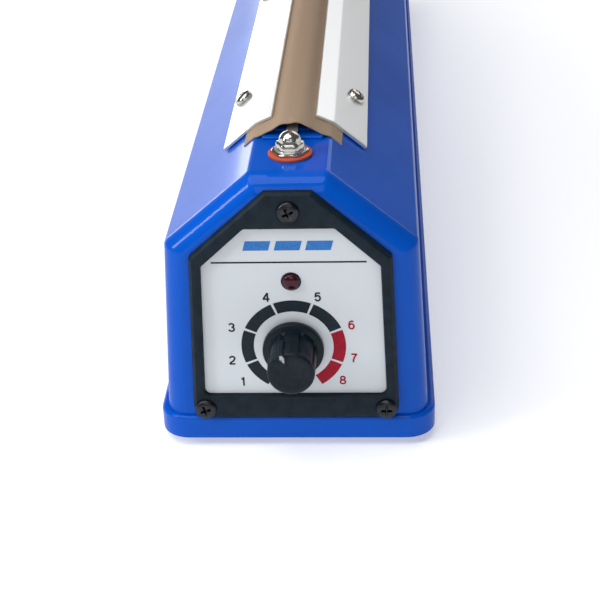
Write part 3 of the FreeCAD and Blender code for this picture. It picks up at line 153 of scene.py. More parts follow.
class Skin:
    """Rings of points joined into closed surfaces, gathered for one mesh."""

    def __init__(self) -> None:
        """Start with nothing."""
        self.points: List[Vector] = []
        self.faces: List[Sequence[int]] = []

    def ring(self, points: Sequence[Spot]) -> List[int]:
        """Add the points of one ring.

        Args:
            points: the ring's points, in order.

        Returns:
            Their numbers.
        """
        start = len(self.points)
        self.points.extend(Vector(p) for p in points)
        return list(range(start, len(self.points)))

    def bridge(self, one: Sequence[int], two: Sequence[int]) -> None:
        """Join two closed rings, or a ring and a pole.

        Args:
            one: the first ring's point numbers, or a single one.
            two: the second ring's point numbers, or a single one.
        """
        count = max(len(one), len(two))
        for i in range(count):
            j = (i + 1) % count
            if len(one) == 1:
                self.faces.append((one[0], two[j], two[i]))
            elif len(two) == 1:
                self.faces.append((one[i], one[j], two[0]))
            else:
                self.faces.append((one[i], one[j], two[j], two[i]))

    def loft(self, rings: Sequence[Sequence[Spot]], closed: bool = False) -> None:
        """Join rings in turn, and close the ends with faces.

        Args:
            rings: rings with the same number of points, or single poles.
            closed: join the last ring to the first one instead.
        """
        made = [self.ring(r) for r in rings]
        for one, two in zip(made, made[1:]):
            self.bridge(one, two)
        if closed:
            self.bridge(made[-1], made[0])
            return
        for end in (made[0], made[-1]):
            if len(end) > 2:
                self.faces.append(tuple(end))

    def lathe(self, profile: Sequence[Flat], place: Optional[Matrix] = None, steps: int = 48,
              reach: Optional[Reach] = None, closed: bool = False) -> None:
        """Turn a profile about the local Z axis.

        Args:
            profile: pairs of radius and height.
            place: where the local frame stands.
            steps: points in each ring.
            reach: gives the radius from an angle, the profile's radius and the height.
            closed: the profile is a loop, as in a washer.
        """
        place = place or Matrix()
        rings = []
        for radius, height in profile:
            if radius < 1e-6:
                rings.append([place @ Vector((0, 0, height))])
                continue
            ring = []
            for k in range(steps):
                angle = 2 * math.pi * k / steps
                far = reach(angle, radius, height) if reach else radius
                ring.append(place @ Vector((far * math.cos(angle), far * math.sin(angle), height)))
            rings.append(ring)
        self.loft(rings, closed)

    def block(self, outline: Sequence[Flat], low: float, high: float,
              place: Optional[Matrix] = None) -> None:
        """Pull an outline across the housing into a prism along it.

        Args:
            outline: the outline's points, as x and z.
            low: the y where the prism starts.
            high: the y where it ends.
            place: where the local frame stands.
        """
        place = place or Matrix()
        self.loft([[place @ Vector((x, y, z)) for x, z in outline] for y in (low, high)])

    def made(self, name: str, sharp: float = 32) -> bpy.types.Object:
        """Build the object, with merged points and outward faces.

        Args:
            name: the object's name.
            sharp: edges that turn more than this many degrees stay crisp.

        Returns:
            The new object, in the scene.
        """
        mesh = bpy.data.meshes.new(name)
        mesh.from_pydata([p * MM for p in self.points], [], self.faces)
        work = bmesh.new()
        work.from_mesh(mesh)
        bmesh.ops.remove_doubles(work, verts=work.verts, dist=1e-7)
        bmesh.ops.dissolve_degenerate(work, edges=work.edges, dist=1e-8)
        bmesh.ops.recalc_face_normals(work, faces=work.faces)
        work.to_mesh(mesh)
        work.free()
        return shaded(listed(bpy.data.objects.new(name, mesh)), sharp)


def lofted(name: str, rings: Sequence[Sequence[Spot]], sharp: float = 32) -> bpy.types.Object:
    """Build one object from rings joined in turn.

    Args:
        name: the object's name.
        rings: rings with the same number of points.
        sharp: edges that turn more than this many degrees stay crisp.

    Returns:
        The new object, in the scene.
    """
    skin = Skin()
    skin.loft(rings)
    return skin.made(name, sharp)


def turned(name: str, profile: Sequence[Flat], places: Sequence[Matrix], steps: int,
           reach: Optional[Reach] = None, closed: bool = False,
           sharp: float = 40) -> bpy.types.Object:
    """Build one object from a profile turned at every place.

    Args:
        name: the object's name.
        profile: pairs of radius and height.
        places: where each turned copy stands.
        steps: points in each ring.
        reach: gives the radius from an angle, the profile's radius and the height.
        closed: the profile is a loop, as in a washer.
        sharp: edges that turn more than this many degrees stay crisp.

    Returns:
        The new object, in the scene.
    """
    skin = Skin()
    for place in places:
        skin.lathe(profile, place, steps, reach, closed)
    return skin.made(name, sharp)


def listed(obj: bpy.types.Object) -> bpy.types.Object:
    """Put an object in the scene and return it."""
    bpy.context.scene.collection.objects.link(obj)
    return obj


def shaded(obj: bpy.types.Object, sharp: float) -> bpy.types.Object:
    """Shade an object smooth, with crisp edges above an angle in degrees.

    Args:
        obj: the object.
        sharp: edges that turn more than this many degrees stay crisp.

    Returns:
        The same object.
    """
    obj.data.shade_smooth()
    obj.data.set_sharp_from_angle(angle=math.radians(sharp))
    return obj


def settled(obj: bpy.types.Object) -> bpy.types.Object:
    """Turn an object and its modifiers into one plain mesh.

    Args:
        obj: the object.

    Returns:
        The same object, without modifiers.
    """
    bpy.context.view_layer.update()
    graph = bpy.context.evaluated_depsgraph_get()
    mesh = bpy.data.meshes.new_from_object(obj.evaluated_get(graph), depsgraph=graph)
    obj.modifiers.clear()
    old = obj.data
    obj.data = mesh
    mesh.name = obj.name
    if isinstance(old, bpy.types.Mesh):
        bpy.data.meshes.remove(old)
    return obj


def softened(obj: bpy.types.Object, width: float, angle: float = 32,
             segments: int = 2) -> bpy.types.Object:
    """Round an object's crisp edges and even out its shading.

    Args:
        obj: the object.
        width: the rounding's width in millimetres.
        angle: edges that turn more than this many degrees are rounded.
        segments: the number of faces across the rounding.

    Returns:
        The same object, as a plain mesh.
    """
    bevel = obj.modifiers.new("edge_rounding", "BEVEL")
    bevel.width = width * MM
    bevel.segments = segments
    bevel.limit_method = "ANGLE"
    bevel.angle_limit = math.radians(angle)
    bevel.miter_outer = "MITER_ARC"
    return evened(obj)


def evened(obj: bpy.types.Object) -> bpy.types.Object:
    """Even out an object's shading after its other modifiers.

    Args:
        obj: the object, with any other modifiers still on it.

    Returns:
        The same object, as a plain mesh.
    """
    even = obj.modifiers.new("even_shading", "WEIGHTED_NORMAL")
    even.keep_sharp = True
    return settled(obj)


def joined_by(obj: bpy.types.Object, tool: bpy.types.Object, how: str) -> bpy.types.Object:
    """Add or cut away another solid, which is used up.

    Args:
        obj: the solid that is kept.
        tool: the solid that is added or cut away.
        how: UNION or DIFFERENCE.

    Returns:
        The kept object, as a plain mesh.
    """
    cut = obj.modifiers.new("joining", "BOOLEAN")
    cut.operation = how
    cut.solver = "EXACT"
    cut.object = tool
    settled(obj)
    bpy.data.objects.remove(tool)
    return obj


# ---- finishes -----------------------------------------------------------------------

class Surface(Enum):
    """The fine relief of a finish."""

    GRAIN = "moulded grain"
    BRUSHED = "brushed lines"
    PITTED = "pitted tinning"
    POLISHED = "polished metal"
    ENAMEL = "flowed enamel"
    WEAVE = "woven threads"
    LAYERS = "stacked sheets"


def srgb(red: int, green: int, blue: int) -> Colour:
    """Turn a display colour into a linear one.

    Args:
        red: the red level, 0 to 255.
        green: the green level.
        blue: the blue level.

    Returns:
        The linear colour.
    """
    parts = []
    for level in (red, green, blue):
        v = level / 255
        parts.append(v / 12.92 if v <= 0.04045 else ((v + 0.055) / 1.055) ** 2.4)
    return tuple(parts)


@dataclass(frozen=True)
class Finish:
    """One worked finish: its colour, its gloss and its relief."""

    name: str
    slot: str
    colour: Colour
    roughness: float
    surface: Surface
    metal: float = 0.0
    coat: float = 0.0
    coat_gloss: float = 0.05
    coat_index: float = 1.5
    specular: float = 0.5
    sheen: float = 0.0
    clear: float = 0.0
    glow: float = 0.0
    second: Optional[Colour] = None
    mottle: float = 0.2
    mottle_scale: float = 60.0
    rough_spread: float = 0.08
    scale: float = 900.0
    relief: float = 0.12
    depth: float = 0.00004
    stretch: Spot = (1.0, 1.0, 1.0)

    def material(self) -> bpy.types.Material:
        """Return the finish as a material, built the first time it is asked for."""
        found = bpy.data.materials.get(self.name)
        return found or self._built()

    def _built(self) -> bpy.types.Material:
        """Build the nodes of the finish.

        Returns:
            The new material.
        """
        material = bpy.data.materials.new(self.name)
        material.use_nodes = True
        nodes, links = material.node_tree.nodes, material.node_tree.links
        shader = nodes["Principled BSDF"]
        for socket, value in (
                ("Metallic", self.metal), ("Coat Weight", self.coat),
                ("Coat Roughness", self.coat_gloss), ("Coat IOR", self.coat_index),
                ("Emission Color", (1, 1, 1, 1)), ("Emission Strength", self.glow),
                ("Specular IOR Level", self.specular), ("Sheen Weight", self.sheen),
                ("Transmission Weight", self.clear)):
            shader.inputs[socket].default_value = value
        where = nodes.new("ShaderNodeTexCoord")
        fit = nodes.new("ShaderNodeMapping")
        fit.inputs["Scale"].default_value = self.stretch
        source = "UV" if self.surface is Surface.WEAVE else "Object"
        links.new(where.outputs[source], fit.inputs["Vector"])

        cloud = nodes.new("ShaderNodeTexNoise")
        cloud.inputs["Scale"].default_value = self.mottle_scale
        cloud.inputs["Detail"].default_value = 6
        links.new(where.outputs["Object"], cloud.inputs["Vector"])
        blend = nodes.new("ShaderNodeMix")
        blend.data_type = "RGBA"
        dark = self.second or tuple(c * (1 - self.mottle) for c in self.colour)
        for socket in blend.inputs:
            if socket.type == "RGBA":
                socket.default_value = (*(self.colour if socket.name == "A" else dark), 1)
        spread = nodes.new("ShaderNodeMapRange")
        spread.inputs["From Min"].default_value = 0.35
        spread.inputs["From Max"].default_value = 0.65
        links.new(cloud.outputs["Fac"], spread.inputs["Value"])
        links.new(spread.outputs["Result"], blend.inputs["Factor"])
        mixed = next(s for s in blend.outputs if s.type == "RGBA")
        links.new(mixed, shader.inputs["Base Color"])

        gloss = nodes.new("ShaderNodeMapRange")
        gloss.inputs["To Min"].default_value = max(self.roughness - self.rough_spread, 0.02)
        gloss.inputs["To Max"].default_value = min(self.roughness + self.rough_spread, 1)
        links.new(cloud.outputs["Fac"], gloss.inputs["Value"])
        links.new(gloss.outputs["Result"], shader.inputs["Roughness"])

        height = self._height(nodes, links, fit.outputs["Vector"])
        bump = nodes.new("ShaderNodeBump")
        bump.inputs["Strength"].default_value = self.relief
        bump.inputs["Distance"].default_value = self.depth
        links.new(height, bump.inputs["Height"])
        links.new(bump.outputs["Normal"], shader.inputs["Normal"])
        return material

    def _height(self, nodes: bpy.types.Nodes, links: bpy.types.NodeLinks,
                where: bpy.types.NodeSocket) -> bpy.types.NodeSocket:
        """Build the relief's nodes.

        Args:
            nodes: the material's nodes.
            links: the material's links.
            where: the coordinates that the relief follows.

        Returns:
            The socket that gives the height.
        """
        def pattern(kind: str, axis: Optional[str] = None) -> bpy.types.Node:
            """Add one pattern at the relief's scale.

            Args:
                kind: the node's type.
                axis: the way its bands run, where it has them.

            Returns:
                The node.
            """
            node = nodes.new(kind)
            if axis:
                node.bands_direction = axis
            node.inputs["Scale"].default_value = self.scale
            links.new(where, node.inputs["Vector"])
            return node

        if self.surface is Surface.WEAVE:
            over = nodes.new("ShaderNodeMath")
            over.operation = "MAXIMUM"
            for k, axis in enumerate("XY"):
                wave = pattern("ShaderNodeTexWave", axis)
                wave.inputs["Distortion"].default_value = 0.4
                links.new(wave.outputs["Fac"], over.inputs[k])
            return over.outputs["Value"]
        if self.surface is Surface.LAYERS:
            return pattern("ShaderNodeTexWave", "Y").outputs["Fac"]
        if self.surface is Surface.PITTED:
            return pattern("ShaderNodeTexVoronoi").outputs["Distance"]
        noise = pattern("ShaderNodeTexNoise")
        noise.inputs["Detail"].default_value = 1 if self.surface is Surface.ENAMEL else 5
        return noise.outputs["Fac"]


BLUE = Finish("blue_enamel", "blue_paint", srgb(0, 84, 194), 0.4, Surface.ENAMEL, coat=0.42,
              coat_gloss=0.04, coat_index=1.35, specular=0.03, mottle=0.1, mottle_scale=25,
              scale=160, relief=0.1, depth=0.0003)
BLACK_MOULD = Finish("black_moulding", "black_plastic", srgb(24, 37, 48), 0.45, Surface.GRAIN,
                     specular=0.12, mottle=0.35, mottle_scale=300, scale=2600, relief=0.35,
                     depth=0.00005)
KNOB_MOULD = Finish("knob_moulding", "black_plastic", srgb(18, 31, 40), 0.3, Surface.GRAIN,
                    specular=0.15, mottle=0.4, mottle_scale=700, scale=3500, relief=0.4,
                    depth=0.00006)
LABEL = Finish("label_film", "label_film", srgb(168, 180, 190), 0.5, Surface.GRAIN, specular=0.3,
               mottle=0.06, mottle_scale=90, scale=5000, relief=0.12, depth=0.00002)
DARK_INK = Finish("dark_ink", "label_film", srgb(28, 40, 50), 0.5, Surface.GRAIN, specular=0.15,
                  mottle=0.3, mottle_scale=1500, scale=6000, relief=0.1, depth=0.00001)
RED_INK = Finish("red_ink", "label_film", srgb(164, 16, 44), 0.5, Surface.GRAIN, specular=0.15,
                 mottle=0.25, mottle_scale=1500, scale=6000, relief=0.1, depth=0.00001)
BLUE_INK = Finish("blue_ink", "label_film", srgb(58, 122, 196), 0.5, Surface.GRAIN,
                  specular=0.15, mottle=0.2, mottle_scale=1500, scale=6000, relief=0.1,
                  depth=0.00001)
# Pale finish for the pointer's top: a painted highlight standing in for the lit edge of the
# pointer lug.
POINTER_HIGHLIGHT = Finish("worn_white", "black_plastic", srgb(196, 202, 208), 0.6, Surface.GRAIN,
                    second=srgb(84, 92, 100), mottle_scale=1800, scale=5000, relief=0.3)
NICKEL = Finish("bright_nickel", "bright_steel", srgb(196, 194, 186), 0.17, Surface.POLISHED,
                metal=1.0, mottle=0.12, mottle_scale=500, rough_spread=0.07, scale=900,
                relief=0.1, depth=0.00005)
BLACK_STEEL = Finish("black_oxide_steel", "black_steel", srgb(58, 60, 64), 0.34,
                     Surface.POLISHED, metal=1.0, mottle=0.3, mottle_scale=900, scale=3000,
                     relief=0.2)
ALUMINIUM = Finish("satin_aluminium", "satin_aluminium", srgb(220, 229, 234), 0.52,
                   Surface.BRUSHED, metal=0.7, mottle=0.05, mottle_scale=70, rough_spread=0.05,
                   scale=1400, relief=0.12, depth=0.00002, stretch=(1.0, 0.02, 1.0))
CLOTH = Finish("release_cloth", "release_cloth", srgb(186, 160, 138), 0.42, Surface.WEAVE,
               sheen=0.15, second=srgb(166, 139, 116), mottle_scale=45, rough_spread=0.06,
               scale=0.75, relief=0.25, depth=0.00004, specular=0.6)
FIBRE = Finish("red_fibre", "red_fibre", srgb(190, 84, 68), 0.6, Surface.GRAIN, mottle=0.3,
               mottle_scale=900, scale=2500, relief=0.4, depth=0.00005)
TINNED = Finish("tinned_strip", "tinned_strip", srgb(196, 192, 180), 0.36, Surface.PITTED,
                metal=1.0, mottle=0.35, mottle_scale=900, scale=1500, relief=0.6, depth=0.00008)
ZINC = Finish("zinc_plate", "zinc_plate", srgb(176, 180, 178), 0.36, Surface.BRUSHED, metal=1.0,
              second=srgb(150, 156, 150), mottle_scale=28, scale=900, relief=0.15,
              stretch=(1.0, 0.05, 1.0))
RUBBER = Finish("foot_rubber", "foot_rubber", srgb(30, 30, 31), 0.8, Surface.GRAIN, mottle=0.3,
                mottle_scale=300, scale=1800, relief=0.4)
LENS = Finish("lamp_lens", "lamp_red", srgb(58, 10, 26), 0.1, Surface.POLISHED, specular=0.3,
              mottle=0.15, mottle_scale=300, scale=500, relief=0.03)
SILICONE = Finish("silicone_rubber", "silicone_rubber", srgb(206, 92, 46), 0.55, Surface.GRAIN,
                  mottle=0.15, mottle_scale=120, scale=1500, relief=0.25)
BRASS = Finish("brass_bush", "brass_bush", srgb(206, 168, 92), 0.28, Surface.POLISHED, metal=1.0,
               mottle=0.2, mottle_scale=400, scale=1500, relief=0.15)
BOARD = Finish("board_green", "board_green", srgb(24, 92, 52), 0.35, Surface.GRAIN, mottle=0.3,
               mottle_scale=500, scale=1200, relief=0.2)
RELAY = Finish("relay_case", "relay_case", srgb(38, 66, 128), 0.3, Surface.GRAIN, mottle=0.15,
               mottle_scale=200, scale=2500, relief=0.15)
RESIN = Finish("pressed_resin", "bakelite", srgb(98, 52, 30), 0.5, Surface.GRAIN, mottle=0.4,
               mottle_scale=400, scale=1500, relief=0.3)
CORE = Finish("core_laminations", "core_steel", srgb(74, 76, 80), 0.45, Surface.LAYERS,
              metal=0.8, mottle=0.3, mottle_scale=120, scale=320, relief=0.8, depth=0.0001)
WRAP = Finish("coil_wrap", "coil_wrap", srgb(206, 170, 62), 0.4, Surface.GRAIN, mottle=0.25,
              mottle_scale=120, scale=700, relief=0.25, stretch=(1.0, 1.0, 6.0))
SLEEVE = Finish("lead_sleeve", "lead_cover", srgb(226, 220, 206), 0.55, Surface.GRAIN,
                mottle=0.15, mottle_scale=300, scale=2500, relief=0.25)
GLASS = Finish("fuse_glass", "fuse_glass", srgb(230, 238, 238), 0.06, Surface.POLISHED,
               clear=0.9, mottle=0.05, mottle_scale=200, scale=300, relief=0.03)


def finished(obj: bpy.types.Object, finish: Finish, body: str,
             *nodes: str) -> bpy.types.Object:
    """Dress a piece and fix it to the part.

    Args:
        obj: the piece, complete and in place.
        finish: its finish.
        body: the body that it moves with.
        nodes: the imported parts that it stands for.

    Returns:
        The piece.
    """
    obj.data.materials.clear()
    obj.data.materials.append(finish.material())
    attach(obj, body)
    if nodes:
        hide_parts(*nodes)
    LOG.info("%s: %d faces on %s", obj.name, len(obj.data.polygons), body)
    return obj


def refined(node: str, name: str, finish: Finish, body: str, width: float) -> bpy.types.Object:
    """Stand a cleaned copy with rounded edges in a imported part's place.

    Args:
        node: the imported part.
        name: the piece's name.
        finish: its finish.
        body: the body that it moves with.
        width: the edge rounding in millimetres.

    Returns:
        The piece.
    """
    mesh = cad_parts[node].data.copy()
    mesh.name = name
    work = bmesh.new()
    work.from_mesh(mesh)
    bmesh.ops.remove_doubles(work, verts=work.verts, dist=2e-6)
    bmesh.ops.dissolve_limit(work, angle_limit=math.radians(0.6), verts=work.verts,
                             edges=work.edges)
    work.to_mesh(mesh)
    work.free()
    if mesh.has_custom_normals:
        mesh.attributes.remove(mesh.attributes["custom_normal"])
    obj = shaded(listed(bpy.data.objects.new(name, mesh)), 32)
    softened(obj, width)
    return finished(obj, finish, body, node)


# ---- repeated pieces, grown by node trees -------------------------------------------

class Growth:
    """A tree of geometry nodes, from its named inputs to its dressed pieces."""

    def __init__(self, name: str, inputs: Dict[str, str]) -> None:
        """Open the tree.

        Args:
            name: the tree's name.
            inputs: the kind of each input by name, the geometry that it works on first.
        """
        self.tree = bpy.data.node_groups.new(name, "GeometryNodeTree")
        for label, kind in {**inputs, "Finish": "Material"}.items():
            self.tree.interface.new_socket(label, in_out="INPUT",
                                           socket_type=f"NodeSocket{kind}")
        self.tree.interface.new_socket("Pieces", in_out="OUTPUT",
                                       socket_type="NodeSocketGeometry")
        self.given = self.tree.nodes.new("NodeGroupInput").outputs

    def add(self, kind: str, output: str, inputs: Dict[object, object],
            **settings: str) -> bpy.types.NodeSocket:
        """Add one node.

        Args:
            kind: the node's type, without its family for a geometry node.
            output: the output that is wanted.
            inputs: a socket, several sockets or a value for each input.
            settings: the node's own choices.

        Returns:
            The wanted output.
        """
        node = self.tree.nodes.new(kind if "Node" in kind else f"GeometryNode{kind}")
        for label, choice in settings.items():
            setattr(node, label, choice)
        for label, source in inputs.items():
            for one in source if isinstance(source, list) else [source]:
                if isinstance(one, bpy.types.NodeSocket):
                    self.tree.links.new(one, node.inputs[label])
                else:
                    node.inputs[label].default_value = one
        return node.outputs[output]

    def close(self, pieces: bpy.types.NodeSocket) -> bpy.types.NodeTree:
        """Make the pieces real and give them their finish.

        Args:
            pieces: the socket that gives the pieces.

        Returns:
            The finished tree.
        """
        real = self.add("RealizeInstances", "Geometry", {"Geometry": pieces})
        dressed = self.add("SetMaterial", "Geometry",
                           {"Geometry": real, "Material": self.given["Finish"]})
        self.tree.links.new(dressed, self.tree.nodes.new("NodeGroupOutput").inputs["Pieces"])
        return self.tree


def grown(base: bpy.types.Object, tree: bpy.types.NodeTree,
          values: Dict[str, object]) -> bpy.types.Object:
    """Run a node tree on an object and keep the result as a plain mesh.

    Args:
        base: the object that the tree works on.
        tree: the node tree.
        values: the tree's inputs, by name.

    Returns:
        The same object, with its new mesh and no modifier.
    """
    grow = base.modifiers.new(tree.name, "NODES")
    grow.node_group = tree
    for item in tree.interface.items_tree:
        if item.item_type == "SOCKET" and item.in_out == "INPUT" and item.name in values:
            grow[item.identifier] = values[item.name]
    return shaded(settled(base), 32)


@dataclass
class PanScrews:
    """Pan-head screws with a cross recess, set wherever they are wanted."""

    recess_arm: float = 0.56
    recess_half: float = 0.13
    recess_foot: float = 0.42
    shank_radius: float = 1.45
    seed: int = 11

    def head(self) -> bpy.types.Object:
        """Build one head of radius 1 and height 1, with its recess.

        Returns:
            The head, to be placed many times.
        """
        dome = Skin()
        dome.lathe([(0, -0.02), (0.9, -0.02), (0.97, 0.05), (1.0, 0.22), (0.98, 0.42),
                    (0.9, 0.64), (0.74, 0.82), (0.5, 0.94), (0.25, 0.99), (0, 1.0)])
        for point in dome.points:
            point /= MM
        head = dome.made("screw_head", 40)
        arm, half = self.recess_arm, self.recess_half
        cross = [(half, half), (half, arm), (-half, arm), (-half, half), (-arm, half),
                 (-arm, -half), (-half, -half), (-half, -arm), (half, -arm), (half, -half),
                 (arm, -half), (arm, half)]
        rings = [[(x * grow / MM, y * grow / MM, height / MM) for x, y in cross]
                 for grow, height in ((self.recess_foot, 0.3), (1.12, 1.15))]
        return shaded(joined_by(head, lofted("recess", rings, 20), "DIFFERENCE"), 40)

    def tree(self) -> bpy.types.NodeTree:
        """Build the node tree that sets a head and a shank at each point.

        Returns:
            The tree.
        """
        growth = Growth("pan_screws", {
            "Seats": "Geometry", "Head": "Object", "Head Radius": "Float",
            "Head Height": "Float", "Shank Radius": "Float", "Shank Length": "Float"})
        add, given = growth.add, growth.given
        size = add("ShaderNodeCombineXYZ", "Vector", {
            "X": given["Head Radius"], "Y": given["Head Radius"], "Z": given["Head Height"]})
        shape = add("ObjectInfo", "Geometry", {"Object": given["Head"]})
        head = add("Transform", "Geometry", {"Geometry": shape, "Scale": size})
        shank = add("MeshCylinder", "Mesh", {
            "Vertices": 20, "Radius": given["Shank Radius"], "Depth": given["Shank Length"]})
        half = add("ShaderNodeMath", "Value", {0: given["Shank Length"], 1: -0.5},
                   operation="MULTIPLY")
        drop = add("ShaderNodeCombineXYZ", "Vector", {"Z": half})
        low = add("Transform", "Geometry", {"Geometry": shank, "Translation": drop})
        screw = add("JoinGeometry", "Geometry", {"Geometry": [head, low]})
        turn = add("InputNamedAttribute", "Attribute", {"Name": "turn"},
                   data_type="FLOAT_VECTOR")
        rotation = add("FunctionNodeEulerToRotation", "Rotation", {"Euler": turn})
        return growth.close(add("InstanceOnPoints", "Instances", {
            "Points": given["Seats"], "Instance": screw, "Rotation": rotation}))

    def build(self) -> None:
        """Make the head and the tree that every set uses."""
        self.shape = self.head()
        self.nodes = self.tree()
        self.random = np.random.default_rng(self.seed)

    def fit(self, name: str, node: str, seats: Sequence[Seat], sizes: Spot, finish: Finish,
            body: str = "base") -> None:
        """Set one group of screws.

        Args:
            name: the piece's name.
            node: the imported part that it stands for.
            seats: each screw's seat, in millimetres, and the way its head points.
            sizes: the head's radius, its height and the shank's length.
            finish: the screws' finish.
            body: the body that they move with.
        """
        mesh = bpy.data.meshes.new(name)
        mesh.from_pydata([Vector(seat) * MM for seat, _ in seats], [], [])
        turns = mesh.attributes.new("turn", "FLOAT_VECTOR", "POINT")
        for k, (_, up) in enumerate(seats):
            spin = Matrix.Rotation(self.random.uniform(0, math.pi), 4, "Z")
            stood = Vector(up).to_track_quat("Z", "Y").to_matrix().to_4x4() @ spin
            turns.data[k].vector = stood.to_euler()
        base = listed(bpy.data.objects.new(name, mesh))
        radius, height, shank = sizes
        grown(base, self.nodes, {
            "Head": self.shape, "Head Radius": radius * MM, "Head Height": height * MM,
            "Shank Radius": self.shank_radius * MM, "Shank Length": shank * MM,
            "Finish": finish.material()})
        finished(base, finish, body, node)

    def clear(self) -> None:
        """Remove the loose head."""
        bpy.data.objects.remove(self.shape)


# ---- housing ------------------------------------------------------------------------

@dataclass
class Housing:
    """Cast housing with its foot flange, stepped ridge and enamel."""

    bed: float = 3.0
    base_half: float = 42.5
    base_reach: float = 225.0
    flange_top: float = 10.5
    flange_corner: float = 9.0
    flange_round: float = 1.2
    face: float = END_WALL
    section: Tuple[Flat, ...] = ((40.6, 4.0), (37.2, 67.5), (DECK_HALF, DECK))
    inner: Tuple[Flat, ...] = ((38.1, 2.0), (34.7, 66.25), (10.15, 86.8))
    wall: float = 2.5
    end_round: float = 6.5
    edge_round: float = 2.4
    ridges: Tuple[Spot, ...] = ((9.2, 160.0, 90.2), (7.9, 155.0, 90.8))
    ridge_foot: float = 88.0
    pin_half: float = 4.5
    screw_bore: float = 1.6
    dial_bore: float = 4.6
    lamp_bore: float = 2.7
    rear_bore: float = 6.1
    stud_bore: float = 2.15
    plunger_bore: float = 2.6
    plunger_place: float = 149.0

    def skin(self) -> bpy.types.Object:
        """Loft the outer skin between its rounded ends.

        Returns:
            A closed solid.
        """
        corners = mirrored(self.section)
        rings = []
        stations = [math.radians(90 - 9 * k) for k in range(11)]
        for end in (-1, 1):
            order = stations if end < 0 else stations[::-1]
            for angle in order:
                depth = self.end_round * (1 - math.cos(angle))
                along = end * (self.face - self.end_round * (1 - math.sin(angle)))
                shrunk = inset(corners, [depth] * 5 + [0])
                radii = [0.05, self.edge_round + depth * 0.12, self.edge_round + depth * 0.12]
                line = rounded(shrunk, radii + radii[::-1], 8)
                rings.append([(x, along, z) for x, z in line])
        return lofted("housing_shell", rings)

    def slab(self, half: float, reach: float, middle: float, corner: float, low: float,
             high: float, edge: float) -> bpy.types.Object:
        """Make a flat block with rounded corners and a rounded upper edge.

        Args:
            half: half its width.
            reach: half its length.
            middle: where its middle lies along the housing.
            corner: the radius of its upright corners.
            low: its lowest height.
            high: its highest height.
            edge: the radius of its upper edge.

        Returns:
            A closed solid.
        """
        rings = []
        for k in range(-1, 7):
            angle = math.radians(max(k, 0) * 15)
            depth = edge * (1 - math.cos(angle))
            height = low if k < 0 else high - edge * (1 - math.sin(angle))
            plan = [(half - depth, -reach + depth), (half - depth, reach - depth),
                    (-half + depth, reach - depth), (-half + depth, -reach + depth)]
            line = rounded(plan, [max(corner - depth, 0.2)] * 4, 8)
            rings.append([(x, y + middle, height) for x, y in line])
        return lofted("slab", rings)

    def cavity(self) -> bpy.types.Object:
        """Make the space inside the walls, open below.

        Returns:
            A closed solid, to be cut away.
        """
        line = rounded(mirrored(self.inner), [0.5, 3.0, 3.0, 3.0, 3.0, 0.5], 5)
        reach = self.face - self.wall
        return lofted("cavity", [[(x, y, z) for x, z in line] for y in (-reach, reach)])

    def bores(self) -> bpy.types.Object:
        """Make the pins that cut every hole.

        Returns:
            One object of separate closed pins.
        """
        across, upright = Matrix.Rotation(math.radians(90), 4, "X"), Matrix()
        holes = [((0, -self.face, DIAL_HEIGHT), self.dial_bore, across),
                 ((0, -self.face, LAMP_HEIGHT), self.lamp_bore, across)]
        holes += [((x, -self.face, z), self.screw_bore, across) for x, z in PANEL_SCREWS]
        holes += [((x, self.face, REAR_HEIGHT), self.rear_bore, across)
                  for x in (GLAND_PLACE, FUSE_PLACE)]
        holes += [((0, y, self.ridge_foot), self.stud_bore, upright) for y in TERMINALS]
        holes.append(((0, self.plunger_place, self.ridge_foot), self.plunger_bore, upright))
        holes += [((x, y, self.ridge_foot), self.screw_bore, upright) for x, y in HINGE_SCREWS]
        pins, half = Skin(), self.pin_half
        for place, radius, turn in holes:
            pins.lathe([(0, -half), (radius, -half), (radius, half), (0, half)],
                       Matrix.Translation(place) @ turn, 32)
        return pins.made("pins")

    def bosses(self) -> bpy.types.Object:
        """Make the screw bosses that stand inside the walls.

        Returns:
            One object of separate bosses.
        """
        profile = [(self.screw_bore, 4.5), (4.5, 4.5), (4.5, 20.0), (4.0, 20.5),
                   (self.screw_bore, 20.5)]
        places = [Matrix.Translation((x, y, 0)) for x, y in PLATE_SCREWS]
        return turned("bosses", profile, places, 32, closed=True, sharp=32)

    def build(self) -> None:
        """Build the housing and dress it."""
        shell = self.skin()
        joined_by(shell, self.slab(self.base_half, self.base_reach, 0, self.flange_corner,
                                   self.bed, self.flange_top, self.flange_round), "UNION")
        for half, reach, top in self.ridges:
            joined_by(shell, self.slab(half, reach, SEAL_MIDDLE, 0.6, self.ridge_foot, top, 0.4),
                      "UNION")
        joined_by(shell, self.cavity(), "DIFFERENCE")
        joined_by(shell, self.bosses(), "UNION")
        joined_by(shell, self.bores(), "DIFFERENCE")
        finished(evened(shaded(shell, 30)), BLUE, "base", "body_shell")


# ---- front panel --------------------------------------------------------------------

def bow(x: float, z: float, wide: float, high: float, start: float, end: float,
        steps: int = 14) -> List[Flat]:
    """Give points on an oval arc, by its middle, half sizes and two angles in degrees."""
    angles = [math.radians(start + (end - start) * k / steps) for k in range(steps + 1)]
    return [(x + wide * math.cos(a), z + high * math.sin(a)) for a in angles]


